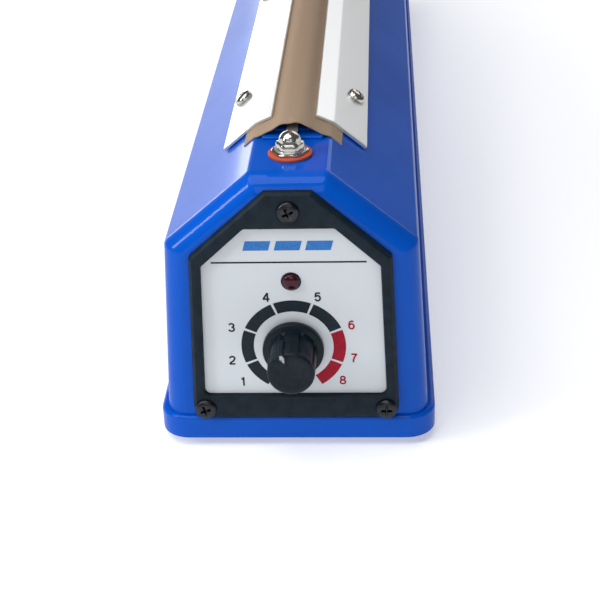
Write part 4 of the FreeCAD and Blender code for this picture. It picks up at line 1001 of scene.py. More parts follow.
NUMERALS: Dict[int, List[List[Flat]]] = {
    1: [[(0.04, -0.5), (0.04, 0.5)], [(0.06, 0.44), (-0.06, 0.32), (-0.18, 0.26)]],
    2: [bow(0, 0.22, 0.24, 0.22, 175, -20) + [(0.1, -0.06), (-0.14, -0.24), (-0.26, -0.43)],
        [(-0.3, -0.42), (0.27, -0.42)]],
    3: [bow(-0.01, 0.22, 0.23, 0.2, 165, -85), bow(-0.01, -0.2, 0.26, 0.23, 90, -168)],
    4: [[(0.13, -0.5), (0.13, 0.5)], [(0.12, 0.44), (-0.28, -0.18)],
        [(-0.32, -0.2), (0.32, -0.2)]],
    5: [[(0.25, 0.42), (-0.17, 0.42)], [(-0.16, 0.46), (-0.23, -0.02)],
        bow(-0.01, -0.14, 0.25, 0.28, 150, -160)],
    6: [bow(0, -0.15, 0.24, 0.27, 0, 360, 24), bow(0.03, 0.02, 0.27, 0.41, 55, 200)],
    7: [[(-0.27, 0.42), (0.26, 0.42)], [(0.26, 0.44), (0.05, 0.1), (-0.05, -0.2), (-0.08, -0.5)]],
    8: [bow(0, 0.22, 0.21, 0.2, 0, 360, 24), bow(0, -0.21, 0.25, 0.22, 0, 360, 24)],
}


@dataclass
class FrontPanel:
    """Moulded bezel, printed label and indicator lamp."""

    back: float = -END_WALL
    front: float = -226.0
    label_face: float = LABEL_FACE
    label_back: float = -224.0
    bezel: Tuple[Flat, ...] = ((31.4, 10.6), (29.4, 65.5), (6.8, 85.9))
    bezel_radii: Tuple[float, ...] = (4.5, 1.6, 1.2)
    label: Tuple[Flat, ...] = ((27.6, 18.9), (26.1, 62.5), (13.0, 74.7))
    label_radii: Tuple[float, ...] = (2.0, 1.4, 1.2)
    bevel: float = 1.0
    ring_inner: float = 11.9
    ring_outer: float = 15.6
    arc_edges: Tuple[float, ...] = (-150, -112.5, -67.5, -22.5, 22.5, 67.5, 112.5, 150)
    dark_arcs: int = 5
    gap: float = 1.5
    rule: Tuple[Flat, ...] = ((-23.0, 63.3), (22.0, 63.3), (22.0, 63.8), (-23.0, 63.8))
    bar: Tuple[Flat, ...] = ((0, 67.4), (7.4, 67.4), (8.2, 70.4), (0.8, 70.4))
    bar_starts: Tuple[float, ...] = (-13.6, -4.6, 4.4)
    ink: float = 0.05
    numbers: Tuple[Flat, ...] = ((-15.7, 23.1), (-18.6, 30.6), (-18.2, 42.0), (-7.5, 52.1),
                                 (7.6, 52.1), (17.3, 42.6), (17.9, 31.3), (14.4, 23.5))
    number_height: float = 3.0
    pen: float = 0.52

    @staticmethod
    def ring(corners: Sequence[Flat], radii: Sequence[float], depth: float,
             y: float) -> List[Spot]:
        """Give one outline of the panel, shrunk by a depth, at one station.

        Args:
            corners: the right half of the outline.
            radii: the radius of each of its corners.
            depth: how far it is drawn in.
            y: where it lies along the housing.

        Returns:
            The ring's points.
        """
        line = inset(mirrored(corners), [depth] * 6)
        even = [max(r - depth, 0.3) for r in radii]
        return [(x, y, z) for x, z in rounded(line, even + even[::-1], 8)]

    def frame(self) -> bpy.types.Object:
        """Build the bezel, with its bevelled rim and the recess for the label.

        Returns:
            The bezel.
        """
        rings = []
        for depth, y in ((0, self.back), (0, self.front + self.bevel + 0.1),
                         (0.08, self.front + self.bevel - 0.1), (0.86, self.front + 0.12),
                         (1.0, self.front + 0.03), (1.2, self.front)):
            rings.append(self.ring(self.bezel, self.bezel_radii, depth, y))
        for depth, y in ((-0.5, self.front), (-0.3, self.front + 0.05), (-0.12, self.front + 0.3),
                         (-0.1, self.label_back)):
            rings.append(self.ring(self.label, self.label_radii, depth, y))
        return lofted("front_bezel_moulding", rings, 40)

    def plate(self) -> bpy.types.Object:
        """Build the label's film."""
        levels = ((0, self.label_back), (0, self.label_face + 0.1), (0.1, self.label_face))
        return lofted("label_plate", [self.ring(self.label, self.label_radii, depth, y)
                                      for depth, y in levels], 40)

    def sector(self, skin: Skin, low: float, high: float) -> None:
        """Add one printed arc of the time scale.

        Args:
            skin: where it goes.
            low: its first angle, in degrees clockwise from the top.
            high: its last angle.
        """
        count = max(int(abs(high - low) / 3), 4)
        angles = [math.radians(low + (high - low) * k / count) for k in range(count + 1)]
        line = [(far * math.sin(a), DIAL_HEIGHT + far * math.cos(a)) for far, run in
                ((self.ring_outer, angles), (self.ring_inner, angles[::-1])) for a in run]
        self.stamp(skin, line, self.ink)

    def stamp(self, skin: Skin, line: Sequence[Flat], level: float) -> None:
        """Add one flat printed shape, that high above the label, to a skin."""
        skin.block(line, self.label_face - level, self.label_face + 0.02)

    def stroke(self, skin: Skin, points: Sequence[Flat], place: Flat, level: float) -> None:
        """Add one pen stroke of a number.

        Args:
            skin: where it goes.
            points: the stroke's middle line, for a number one unit high.
            place: the number's middle.
            level: how far its face stands above the label.
        """
        line = [Vector((place[0] + x * self.number_height, place[1] + z * self.number_height))
                for x, z in points]
        left, right = [], []
        for k, point in enumerate(line):
            run = (line[min(k + 1, len(line) - 1)] - line[max(k - 1, 0)]).normalized()
            side = Vector((-run.y, run.x)) * self.pen / 2
            left.append(tuple(point + side))
            right.append(tuple(point - side))
        self.stamp(skin, left + right[::-1], level)

    def print_sheet(self, name: str, arcs: Sequence[Flat], values: Sequence[int],
                    extra: Sequence[Sequence[Flat]], finish: Finish) -> None:
        """Build everything on the label that has one ink.

        Args:
            name: the piece's name.
            arcs: first and last angle of each arc.
            values: the numbers of the scale.
            extra: other outlines.
            finish: the ink.
        """
        skin = Skin()
        for low, high in arcs:
            self.sector(skin, low + self.gap, high - self.gap)
        for line in extra:
            self.stamp(skin, line, self.ink)
        for value in values:
            for k, points in enumerate(NUMERALS[value]):
                self.stroke(skin, points, self.numbers[value - 1], self.ink + 0.008 * k)
        finished(skin.made(name, 20), finish, "base")

    def lamp(self) -> None:
        """Build and dress the lamp's domed lens and its collar."""
        place = (Matrix.Translation((0, self.label_face, LAMP_HEIGHT))
                 @ Matrix.Rotation(math.pi / 2, 4, "X"))
        lens = [(0, -7.5), (2.6, -7.5), (2.6, 0.35)]
        lens += [(2.45 * math.cos(math.radians(a)), 0.4 + 1.2 * math.sin(math.radians(a)))
                 for a in range(0, 90, 10)]
        finished(turned("lamp_dome", lens + [(0, 1.6)], [place], 40), LENS, "base", "lamp_lens")
        collar = [(2.62, -0.1), (2.95, -0.1), (2.95, 0.15), (2.85, 0.25), (2.62, 0.25)]
        finished(turned("lamp_collar", collar, [place], 40, closed=True, sharp=32),
                 BLACK_MOULD, "base")

    def seats(self) -> List[Seat]:
        """Give the bezel screws' seats and directions."""
        return [((x, self.front, z), (0, -1, 0)) for x, z in PANEL_SCREWS]

    def build(self) -> None:
        """Build and dress the panel."""
        finished(self.frame(), BLACK_MOULD, "base", "front_bezel")
        finished(self.plate(), LABEL, "base", "front_label")
        arcs = list(zip(self.arc_edges, self.arc_edges[1:]))
        dark = self.dark_arcs
        self.print_sheet("label_print_dark", arcs[:dark], range(1, dark + 1), [self.rule],
                         DARK_INK)
        self.print_sheet("label_print_red", arcs[dark:], range(dark + 1, 9), [], RED_INK)
        bars = [[(start + x, z) for x, z in self.bar] for start in self.bar_starts]
        self.print_sheet("label_print_blue", [], (), bars, BLUE_INK)
        self.lamp()


@dataclass
class DialKnob:
    """Fluted timer knob with its skirt and pointer."""

    grip: float = 7.1
    flutes: int = 8
    flute_depth: float = 0.62
    flute_half: float = 0.07
    flute_end: float = 15.6
    pointer: float = -22.5
    nose: float = 16.1

    def reach(self, angle: float, radius: float, height: float) -> float:
        """Give the knob's radius, with its flutes above the skirt.

        Args:
            angle: the angle round the axis.
            radius: the profile's radius.
            height: the height above the label.

        Returns:
            The radius there.
        """
        if height < 3.6 or radius < 3:
            return radius
        pitch = 2 * math.pi / self.flutes
        off = (angle + pitch / 2) % pitch - pitch / 2
        groove = math.exp(-(off / self.flute_half) ** 4)
        out = min(max((self.flute_end - height) / 1.4, 0), 1)
        share = min((height - 3.5) / 0.5, 1) * min(radius / self.grip, 1) * out
        return radius - share * self.flute_depth * groove

    def place(self) -> Matrix:
        """Give the place of the knob's axis, pointer upwards."""
        return (Matrix.Translation((0, LABEL_FACE, DIAL_HEIGHT))
                @ Matrix.Rotation(math.radians(self.pointer), 4, "Y")
                @ Matrix.Rotation(math.pi / 2, 4, "X"))

    def raised(self, name: str, outline: Sequence[Flat],
               levels: Sequence[Flat]) -> bpy.types.Object:
        """Pull an outline out along the knob's axis.

        Args:
            name: the piece's name.
            outline: the outline's corners, anticlockwise.
            levels: pairs of height and how far the outline is drawn in there.

        Returns:
            The piece.
        """
        return lofted(name, [[self.place() @ Vector((x, y, height))
                              for x, y in inset(outline, [depth] * len(outline))]
                             for height, depth in levels])

    def build(self) -> None:
        """Build and dress the knob."""
        profile = [(0, 0.9), (8.7, 0.9), (9.0, 1.05), (9.1, 1.3), (9.1, 2.9), (9.0, 3.15),
                   (8.75, 3.3), (7.5, 3.34), (7.25, 3.45), (7.16, 3.8)]
        profile += [(7.12 - 0.02 * k, 4.4 + 1.4 * k) for k in range(8)]
        profile += [(6.95, 15.2), (6.85, 15.6), (6.62, 15.88), (6.3, 16.02), (5.9, self.nose),
                    (4.8, self.nose), (4.6, 16.0), (0, 15.95)]
        finished(turned("dial_knob", profile, [self.place()], 256, self.reach), KNOB_MOULD,
                 "knob", "timer_knob")
        wedge = [(-0.55, 7.62), (0.55, 7.62), (1.25, 5.9), (0, 3.0), (-1.25, 5.9)]
        lug = self.raised("dial_pointer", wedge,
                          ((9.0, 0.3), (15.9, 0), (16.45, 0), (16.6, 0.16)))
        finished(softened(lug, 0.12), KNOB_MOULD, "knob")
        # The pale mark on the pointer lug is a painted highlight of its lit edge.
        paint = [(0.45, 7.3), (-0.45, 7.3), (-0.75, 6.0), (0, 4.2), (0.75, 6.0)]
        mark = self.raised("dial_pointer_mark", paint, ((16.55, 0.05), (16.63, 0.05)))
        finished(mark, POINTER_HIGHLIGHT, "knob")


# ---- terminals and sealing line -----------------------------------------------------

@dataclass
class Terminals:
    """Acorn nuts on lobed washers and red fibre washers."""

    under: float = 85.8
    washer_lift: float = 1.0
    nut_lift: float = 1.9
    lobes: int = 6

    def lobed(self, angle: float, radius: float, height: float) -> float:
        """Give the washer's lobed rim."""
        if radius < 3:
            return radius
        return radius * (0.955 + 0.045 * math.cos(self.lobes * angle))

    def each(self, name: str, profile: Sequence[Flat], heights: Sequence[float],
             steps: int = 48, reach: Optional[Reach] = None,
             closed: bool = True) -> bpy.types.Object:
        """Turn one profile at both terminals.

        Args:
            name: the piece's name.
            profile: pairs of radius and height.
            heights: where the profile's zero lies, for one copy or more.
            steps: points round it.
            reach: reshapes the radius.
            closed: the profile is a loop.

        Returns:
            The piece.
        """
        places = [Matrix.Translation((0, y, z)) for y in TERMINALS for z in heights]
        return turned(name, profile, places, steps, reach, closed, 38)

    def build(self) -> None:
        """Build and dress the washers and nuts."""
        fibre = [(2.2, 0), (6.3, 0), (6.5, 0.2), (6.5, 0.75), (6.25, 1.0), (2.2, 1.0)]
        finished(self.each("fibre_insulators", fibre, (DECK, self.under)), FIBRE, "base",
                 "fibre_washers")
        lobed = [(2.2, 0), (5.2, 0), (5.5, 0.15), (5.5, 0.55), (5.3, 0.78), (4.7, 0.9),
                 (2.2, 0.9)]
        finished(self.each("terminal_washers", lobed, (DECK + self.washer_lift,), 96,
                           self.lobed), NICKEL, "base", "contact_washers")
        nut = [(0, 0), (4.05, 0), (4.2, 0.15), (4.2, 1.75), (4.0, 2.1), (3.4, 2.3)]
        nut += [(3.3 * math.cos(math.radians(a)), 2.4 + 3.0 * math.sin(math.radians(a)))
                for a in range(5, 90, 7)]
        finished(self.each("acorn_nuts", nut + [(0, 5.4)], (DECK + self.nut_lift,), 96,
                           self.lobed, closed=False), NICKEL, "base", "cap_nuts")


@dataclass
class SealingLine:
    """Heating strip under a stretched release cloth, and the clamps that hold it."""

    slope: Flat = (25.8, 21.8)
    cloth_length: float = 317.0
    cloth_thick: float = 0.3
    cloth_reach: float = 14.5
    cloth_rows: int = 160
    crown_half: float = 6.0
    loose_end: float = 9.5
    ripple: float = 0.07
    pucker: float = 0.18
    fray: float = 0.22
    wander: float = 0.05
    wander_from: float = 13.0
    clamp_length: float = 298.0
    clamp_thick: float = 1.0
    clamp_outer: float = 22.1
    clamp_inner: float = 6.45
    clamp_bend: float = 2.4
    gap: float = 0.06
    screw_place: float = 17.3
    screw_pitch: float = 115.5

    def on_slope(self, x: float, lift: float) -> Flat:
        """Give the outline point that far above the housing's slope."""
        run, rise = self.slope
        return (x, DECK - (x - DECK_HALF) * rise / run
                + lift * math.hypot(run, rise) / run)

    def cloth_line(self, count: int = 34) -> List[Flat]:
        """Give the cloth's underside across one half, from the crown outwards.

        Args:
            count: the number of points over the deck.

        Returns:
            The line's points.
        """
        knots = [(0, 4.6), (2.2, 4.5), (3.6, 4.12), (5.0, 3.3), (6.3, 2.34), (8.4, 1.3),
                 (10.2, 0.52), (DECK_HALF, 0.05)]
        xs = np.linspace(0, DECK_HALF, count)
        zs = np.interp(xs, *zip(*knots))
        for _ in range(3):
            zs[1:-1] = (zs[:-2] + 2 * zs[1:-1] + zs[2:]) / 4
        line = [(float(x), DECK + float(z)) for x, z in zip(xs, zs)]
        line.append(self.on_slope(12.6, 0.04))
        line.append(self.on_slope(self.cloth_reach, 0.03))
        return line

    def waved(self, x: float, z: float, along: float, free: float, far: bool) -> Vector:
        """Move a point of the cloth by its ripples and its loose ends.

        Args:
            x: the point's place across the housing.
            z: its height.
            along: its place along the housing.
            free: how loose the cloth is there, from 0 to 1.
            far: whether it is nearer the cloth's rear end.

        Returns:
            The moved point.
        """
        crown = max(0, 1 - abs(x) / self.crown_half)
        ripple = self.ripple * math.sin(along * 0.21 + 1.3 * math.sin(along * 0.043))
        lift = crown * (ripple + self.pucker * free * math.sin(x * 0.9 + 0.6))
        edge = self.fray * free * math.sin(x * 1.3 + (0.4 if far else 2.0))
        side = self.wander * math.sin(along * 0.5) * (abs(x) > self.wander_from)
        return Vector((x + side, along + edge * (1 if far else -1), z + lift))

    def cloth(self) -> bpy.types.Object:
        """Build the release cloth, pulled over the strip, with its threads' own map.

        Returns:
            The cloth, with its thickness.
        """
        half = self.cloth_line()
        line = [(-x, z) for x, z in reversed(half[1:])] + half
        width = len(line)
        steps = [0.0]
        for (x0, z0), (x1, z1) in zip(line, line[1:]):
            steps.append(steps[-1] + math.hypot(x1 - x0, z1 - z0))
        points, flat = [], []
        for row in range(self.cloth_rows + 1):
            t = row / self.cloth_rows
            along = SEAL_MIDDLE + self.cloth_length * (t - 0.5)
            free = max(0, 1 - min(t, 1 - t) * self.cloth_length / self.loose_end)
            points += [self.waved(x, z, along, free, t > 0.5) * MM for x, z in line]
            flat += [(step * MM, along * MM) for step in steps]
        starts = [row * width + k for row in range(self.cloth_rows) for k in range(width - 1)]
        mesh = bpy.data.meshes.new("release_cloth")
        mesh.from_pydata(points, [], [(a, a + 1, a + width + 1, a + width) for a in starts])
        chart = mesh.uv_layers.new(name="threads")
        for loop in mesh.loops:
            chart.data[loop.index].uv = tuple(1000 * v for v in flat[loop.vertex_index])
        obj = listed(bpy.data.objects.new("release_cloth", mesh))
        wall = obj.modifiers.new("cloth_thickness", "SOLIDIFY")
        wall.thickness = self.cloth_thick * MM
        wall.offset = 1
        return shaded(settled(obj), 50)

    def clamp(self, name: str, side: int) -> bpy.types.Object:
        """Build one bent clamp strip.

        Args:
            name: the piece's name.
            side: which slope it lies on, -1 or 1.

        Returns:
            The strip.
        """
        lift = self.cloth_thick + self.gap
        inner = (self.clamp_inner, DECK + 2.3 + lift * 1.12)
        bend = self.on_slope(DECK_HALF + lift * 0.56, lift)
        outer = self.on_slope(self.clamp_outer - self.clamp_thick * 0.645, lift)
        path = rounded([inner, bend, outer], [0.01, self.clamp_bend, 0.01], 10)[11:22]
        path = [inner] + path + [outer]
        over = []
        for k, point in enumerate(path):
            back, on = Vector(path[max(k - 1, 0)]), Vector(path[min(k + 1, len(path) - 1)])
            run = (on - back).normalized()
            over.append(tuple(Vector(point) + Vector((-run.y, run.x)) * self.clamp_thick))
        outline = [(side * x, z) for x, z in path + over[::-1]]
        strip = Skin()
        strip.block(outline, SEAL_MIDDLE - self.clamp_length / 2,
                    SEAL_MIDDLE + self.clamp_length / 2)
        return softened(strip.made(name, 30), 0.16)

    def seats(self) -> List[Seat]:
        """Give the clamp screws' seats and directions.

        Returns:
            One seat for each screw.
        """
        run, rise = (side / math.hypot(*self.slope) for side in self.slope)
        seat = self.cloth_thick + self.gap + self.clamp_thick
        x, z = self.on_slope(self.screw_place, 0)
        return [((side * (x + seat * rise), SEAL_MIDDLE + self.screw_pitch * k, z + seat * run),
                 (side * rise, 0, run)) for side in (-1, 1) for k in (-1, 0, 1)]

    def build(self) -> None:
        """Build and dress the sealing line."""
        refined("element_bar", "strip_bed", RESIN, "base", 0.3)
        refined("insulation_tape", "bed_tape", CLOTH, "base", 0.03)
        refined("heating_element", "heating_strip", TINNED, "base", 0.05)
        cloth = finished(self.cloth(), CLOTH, "base", "ptfe_cloth")
        across = self.cloth_line()
        for word, side in (("left", -1), ("right", 1)):
            finished(self.clamp(f"clamp_plate_{word}", side), ALUMINIUM, "base", f"clamp_{word}")


# ---- hinge, arm and spring ----------------------------------------------------------

@dataclass
class ReturnSpring:
    """Coil spring that lifts the arm."""

    centre: Tuple[float, float] = (0.0, 161.0)
    low: float = 93.25
    high: float = 105.75
    radius: float = 4.35
    wire: float = 0.65
    turns: float = 4.0
    seat: float = 92.5
    pressed: float = 0.66

    def tree(self) -> bpy.types.NodeTree:
        """Build the node tree that winds the coil.

        Returns:
            The tree.
        """
        growth = Growth("coil_spring", {
            "Blank": "Geometry", "Turns": "Float", "Coil Radius": "Float", "Rise": "Float",
            "Wire Radius": "Float", "Place": "Vector"})
        add, given = growth.add, growth.given
        coil = add("CurveSpiral", "Curve", {
            "Resolution": 40, "Rotations": given["Turns"], "Height": given["Rise"],
            "Start Radius": given["Coil Radius"], "End Radius": given["Coil Radius"]})
        section = add("CurvePrimitiveCircle", "Curve", {
            "Resolution": 14, "Radius": given["Wire Radius"]})
        wire = add("CurveToMesh", "Mesh", {
            "Fill Caps": True, "Curve": coil, "Profile Curve": section})
        return growth.close(add("Transform", "Geometry", {
            "Geometry": wire, "Translation": given["Place"]}))

    def build(self) -> None:
        """Wind the spring."""
        mesh = bpy.data.meshes.new("coil_spring")
        mesh.from_pydata([(0, 0, 0)], [], [])
        spring = listed(bpy.data.objects.new("coil_spring", mesh))
        x, y = self.centre
        grown(spring, self.tree(), {
            "Turns": self.turns, "Coil Radius": self.radius * MM,
            "Rise": (self.high - self.low) * MM, "Wire Radius": self.wire * MM,
            "Place": (x * MM, y * MM, self.low * MM), "Finish": NICKEL.material()})
        finished(spring, NICKEL, "base", "return_spring")
        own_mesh(spring)


@dataclass
class Arm:
    """Sprung arm: painted cover, moulded grip, channel, holder and pressing strip."""

    pivot: Spot = (0.0, 183.0, 111.0)
    open_angle: float = 16.0
    cover_front: float = -340.0
    cover_tail: float = 17.8
    tail_round: float = 3.0
    tail_wall: float = 1.8
    cover: Tuple[Flat, ...] = ((17.0, -8.1), (17.0, 4.7), (13.0, 9.5))
    cover_inner: Tuple[Flat, ...] = ((15.2, -9.0), (15.2, 4.2), (12.4, 7.7))
    grip_front: float = -402.0
    grip_half: float = 16.5
    grip_low: float = -11.1
    waist: float = 0.7
    waist_place: float = -368.0
    waist_reach: float = 16.0
    grip_slot: Tuple[Flat, ...] = ((12.2, -13.0), (12.2, 7.6))
    slot_front: float = -396.2
    crown_middle: float = -371.0
    crown: Tuple[Flat, ...] = ((-402, 10.6), (-394, 13.2), (-384, 14.9), (-376, 15.4),
                               (-362, 14.9), (-352, 13.4), (-345, 11.3), (-340, 9.6))
    nose_round: float = 7.0
    rib_count: int = 7
    rib_pitch: float = 3.2
    rib_first: float = -389.0
    rib_radius: float = 0.55
    rib_length: float = 19.0
    rib_sink: float = 0.2
    side_screws: Tuple[Flat, ...] = ((16.5, -364.8), (17.0, -310.0), (17.0, -60.0))
    side_height: float = -0.85
    strip_screws: Tuple[float, ...] = tuple(-218 + 314 * k for k in (-0.45, -0.15, 0.15, 0.45))
    strip_height: float = -7.6

    def lift(self) -> Matrix:
        """Give the open arm's place."""
        return Matrix.Translation(self.pivot) @ Matrix.Rotation(
            math.radians(-self.open_angle), 4, "X")

    def top(self, y: float) -> float:
        """Give the height of the grip's back at a station."""
        return float(np.polyval(self.curve, y - self.crown_middle))

    def cover_skin(self) -> bpy.types.Object:
        """Build the cover, closed at the tail.

        Returns:
            The cover.
        """
        corners = mirrored(self.cover)
        rings = []
        stations = [(self.cover_front, 0.35), (self.cover_front + 0.35, 0.0)]
        for k in range(7):
            angle = math.radians(15 * k)
            stations.append((self.cover_tail - self.tail_round * (1 - math.sin(angle)),
                             self.tail_round * (1 - math.cos(angle))))
        for y, depth in stations:
            line = rounded(inset(corners, [depth] * 5 + [0]),
                           [0.05, 3.0, 3.0, 3.0, 3.0, 0.05], 7)
            rings.append([self.lift() @ Vector((x, y, z)) for x, z in line])
        shell = lofted("arm_cover_shell", rings)
        line = rounded(mirrored(self.cover_inner), [0.2, 1.6, 1.6, 1.6, 1.6, 0.2], 5)
        space = Skin()
        space.block(line, self.cover_front - 1, self.cover_tail - self.tail_wall, self.lift())
        joined_by(shell, space.made("cover_space"), "DIFFERENCE")
        return softened(shell, 0.2)

    def grip_skin(self) -> bpy.types.Object:
        """Build the moulded grip, hollowed for the channel.

        Returns:
            The grip.
        """
        stations = [(self.grip_front + self.nose_round * (1 - math.sin(math.radians(a))),
                     self.nose_round * (1 - math.cos(math.radians(a))))
                    for a in range(90, -1, -10)]
        stations += [(-394.0 + 3 * k, 0.0) for k in range(18)] + [(-340.0, 0.0)]
        rings = []
        for y, depth in stations:
            waist = self.waist * math.exp(-((y - self.waist_place) / self.waist_reach) ** 2)
            high = max(self.top(y), 6.0)
            half = self.grip_half - waist
            corners = mirrored([(half - 0.4, self.grip_low), (half, 2.0), (half - 2.2, high)])
            line = rounded(inset(corners, [depth * 0.8] * 6),
                           [2.0, 9.0, 5.5, 5.5, 9.0, 2.0], 8)
            rings.append([self.lift() @ Vector((x, y, z)) for x, z in line])
        grip = lofted("arm_grip_moulding", rings, 50)
        slot = Skin()
        slot.block(mirrored(self.grip_slot), self.slot_front, self.cover_front + 1,
                   self.lift())
        joined_by(grip, slot.made("slot"), "DIFFERENCE")
        return softened(shaded(grip, 40), 0.3, 45)

    def ribs(self) -> bpy.types.Object:
        """Grow the row of finger ribs across the grip.

        Returns:
            The ribs.
        """
        growth = Growth("finger_ribs", {
            "Line": "Geometry", "Rib Radius": "Float", "Rib Length": "Float"})
        bar = growth.add("MeshCylinder", "Mesh", {
            "Vertices": 16, "Radius": growth.given["Rib Radius"],
            "Depth": growth.given["Rib Length"]})
        lay = growth.add("Transform", "Geometry", {
            "Geometry": bar, "Rotation": (0, math.pi / 2, 0)})
        tree = growth.close(growth.add("InstanceOnPoints", "Instances", {
            "Points": growth.given["Line"], "Instance": lay}))
        mesh = bpy.data.meshes.new("grip_ribs")
        stations = [self.rib_first + self.rib_pitch * k for k in range(self.rib_count)]
        mesh.from_pydata([(self.lift() @ Vector((0, y, self.top(y) - self.rib_sink))) * MM
                          for y in stations], [], [])
        ribs = listed(bpy.data.objects.new("grip_ribs", mesh))
        return grown(ribs, tree, {"Rib Radius": self.rib_radius * MM,
                                  "Rib Length": self.rib_length * MM,
                                  "Finish": BLACK_MOULD.material()})

    def seats(self, spots: Sequence[Spot]) -> List[Seat]:
        """Give seats on the open arm from places on the closed one.

        Args:
            spots: places in the arm's own frame; a side screw has its x off the middle.

        Returns:
            Seats and directions in the part's frame.
        """
        found = []
        for x, y, z in spots:
            way = Vector((math.copysign(1, x), 0, 0)) if x else Vector((0, 0, 1))
            found.append((tuple(self.lift() @ Vector((x, y, z))),
                          tuple(self.lift().to_3x3() @ way)))
        return found

    def build(self) -> None:
        """Build and dress the arm."""
        ys, zs = zip(*self.crown)
        self.curve = np.polyfit(np.array(ys) - self.crown_middle, zs, 4)
        finished(self.cover_skin(), BLUE, "arm", "arm_cover")
        finished(self.grip_skin(), BLACK_MOULD, "arm", "arm_grip")
        finished(self.ribs(), BLACK_MOULD, "arm")
        refined("arm_channel", "channel_pressing", ZINC, "arm", 0.2)
        refined("strip_holder", "strip_holder_extrusion", ALUMINIUM, "arm",
                0.15)
        refined("silicone_strip", "pressing_strip", SILICONE, "arm", 0.5)
        refined("striker", "striker_pin", NICKEL, "arm", 0.15)
        refined("arm_bushes", "hinge_bushes", BRASS, "arm", 0.12)


# ---- base, rear panel and what the housing holds ------------------------------------

@dataclass
class RearFittings:
    """Cable gland and fuse cap in the rear wall."""

    @staticmethod
    def place(x: float) -> Matrix:
        """Give the place of an axis that points out of the rear wall."""
        return (Matrix.Translation((x, END_WALL, REAR_HEIGHT))
                @ Matrix.Rotation(-math.pi / 2, 4, "X"))

    @staticmethod
    def fluted(angle: float, radius: float, height: float) -> float:
        """Give the gland nut's ribbed side."""
        if radius < 6.2 or not 0.6 < height < 13:
            return radius
        return radius - 0.22 * (0.5 + 0.5 * math.cos(18 * angle)) ** 3

    @staticmethod
    def knurled(angle: float, radius: float, height: float) -> float:
        """Give the fuse cap's knurled side."""
        if radius < 6.6 or not 3.2 < height < 16:
            return radius
        return radius - 0.2 * (0.5 + 0.5 * math.cos(30 * angle)) ** 2

    def build(self) -> None:
        """Build and dress the gland and the cap."""
        gland = [(3.75, -6.5), (6.0, -6.5), (6.0, 0), (7.3, 0), (7.5, 0.3), (7.5, 3.8),
                 (7.2, 4.6), (6.8, 5.1), (6.55, 8.0), (6.3, 11.5), (6.0, 14.0), (5.4, 16.4),
                 (4.95, 17.3), (4.6, 17.6), (4.1, 17.5), (3.75, 17.1)]
        finished(turned("gland_moulding", gland, [self.place(GLAND_PLACE)], 216, self.fluted,
                        closed=True), BLACK_MOULD, "base", "cable_gland")
        cap = [(0, -6), (3.2, -6), (3.2, 2.7), (7.2, 2.7), (7.45, 2.95), (7.4, 4.0),
               (7.2, 9.0), (7.05, 15.6), (6.8, 16.5), (6.2, 17.2), (5.6, 17.5), (0, 17.6)]
        place = self.place(FUSE_PLACE)
        body = turned("fuse_cap_moulding", cap, [place], 240, self.knurled)
        slot = lofted("slot", [[place @ Vector((x, y, height)) for x, y in
                                ((-5, -0.6), (5, -0.6), (5, 0.6), (-5, 0.6))]
                               for height in (16.3, 19)])
        joined_by(body, slot, "DIFFERENCE")
        finished(shaded(body, 40), BLACK_MOULD, "base", "fuse_cap")


@dataclass
class Underside:
    """Rubber feet and the base plate."""

    feet: Tuple[Flat, ...] = ((-27.0, -207.0), (27.0, -207.0), (-27.0, 207.0), (27.0, 207.0))
    plate_face: float = 3.0

    def seats(self) -> List[Seat]:
        """Give the base plate screws' seats and directions."""
        return [((x, y, self.plate_face), (0, 0, -1)) for x, y in PLATE_SCREWS]

    def build(self) -> None:
        """Build and dress the underside."""
        foot = [(0, 0.8), (2.3, 0.8), (2.6, 0.4), (2.7, 0.1), (2.9, 0), (6.0, 0), (6.4, 0.15),
                (6.9, 0.7), (7.0, 1.0), (6.7, 2.4), (6.44, 3.0), (0, 3.0)]
        places = [Matrix.Translation((x, y, 0)) for x, y in self.feet]
        finished(turned("feet_mouldings", foot, places, 40), RUBBER, "base", "rubber_feet")
        refined("base_plate", "base_sheet", ZINC, "base", 0.2)


@dataclass
class PlainParts:
    """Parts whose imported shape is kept, and the finish of each."""

    cleaned: Tuple[Tuple[str, str, Finish], ...] = (
        ("hinge_bracket", "hinge_bracket_pressing", ZINC),
        ("hinge_pin", "hinge_pin_ground", NICKEL),
        ("pin_clips", "retaining_clips", BLACK_STEEL),
        ("spring_seat", "spring_cup", ZINC),
        ("fuse_holder", "fuse_holder_body", BLACK_MOULD),
        ("gland_nut", "gland_back_nut", BLACK_MOULD),
        ("transformer_core", "core_stack", CORE),
        ("transformer_coil", "coil_winding", WRAP),
        ("transformer_strap", "core_strap", ZINC),
        ("relay", "relay_case_moulding", RELAY),
        ("terminal_block", "terminal_block_moulding", RELAY),
        ("timer_board", "timer_circuit_board", BOARD),
        ("microswitch", "switch_case", BLACK_MOULD),
        ("switch_bracket", "switch_bracket_pressing", ZINC),
    )
    kept: Tuple[Tuple[str, Finish], ...] = (
        ("board_capacitors", BLACK_MOULD), ("chassis_screws", ZINC),
        ("front_lead", SLEEVE), ("rear_lead", SLEEVE), ("fuse", GLASS),
        ("pot_nut", NICKEL), ("pot_shaft", NICKEL),
        ("potentiometer", ZINC), ("stud_nuts", NICKEL),
        ("switch_lever", NICKEL), ("switch_screws", NICKEL),
        ("terminal_studs", NICKEL),
    )

    def build(self) -> None:
        """Refine what can be seen and dress what is kept."""
        for node, name, finish in self.cleaned:
            refined(node, name, finish, "base", 0.2)
        refined("switch_plunger", "push_rod", BLACK_MOULD, "plunger", 0.15)
        for node, finish in self.kept:
            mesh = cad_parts[node].data
            mesh.materials.clear()
            mesh.materials.append(finish.material())
            LOG.info("%s: packed shape, %s", node, finish.slot)


# ---- studio -------------------------------------------------------------------------

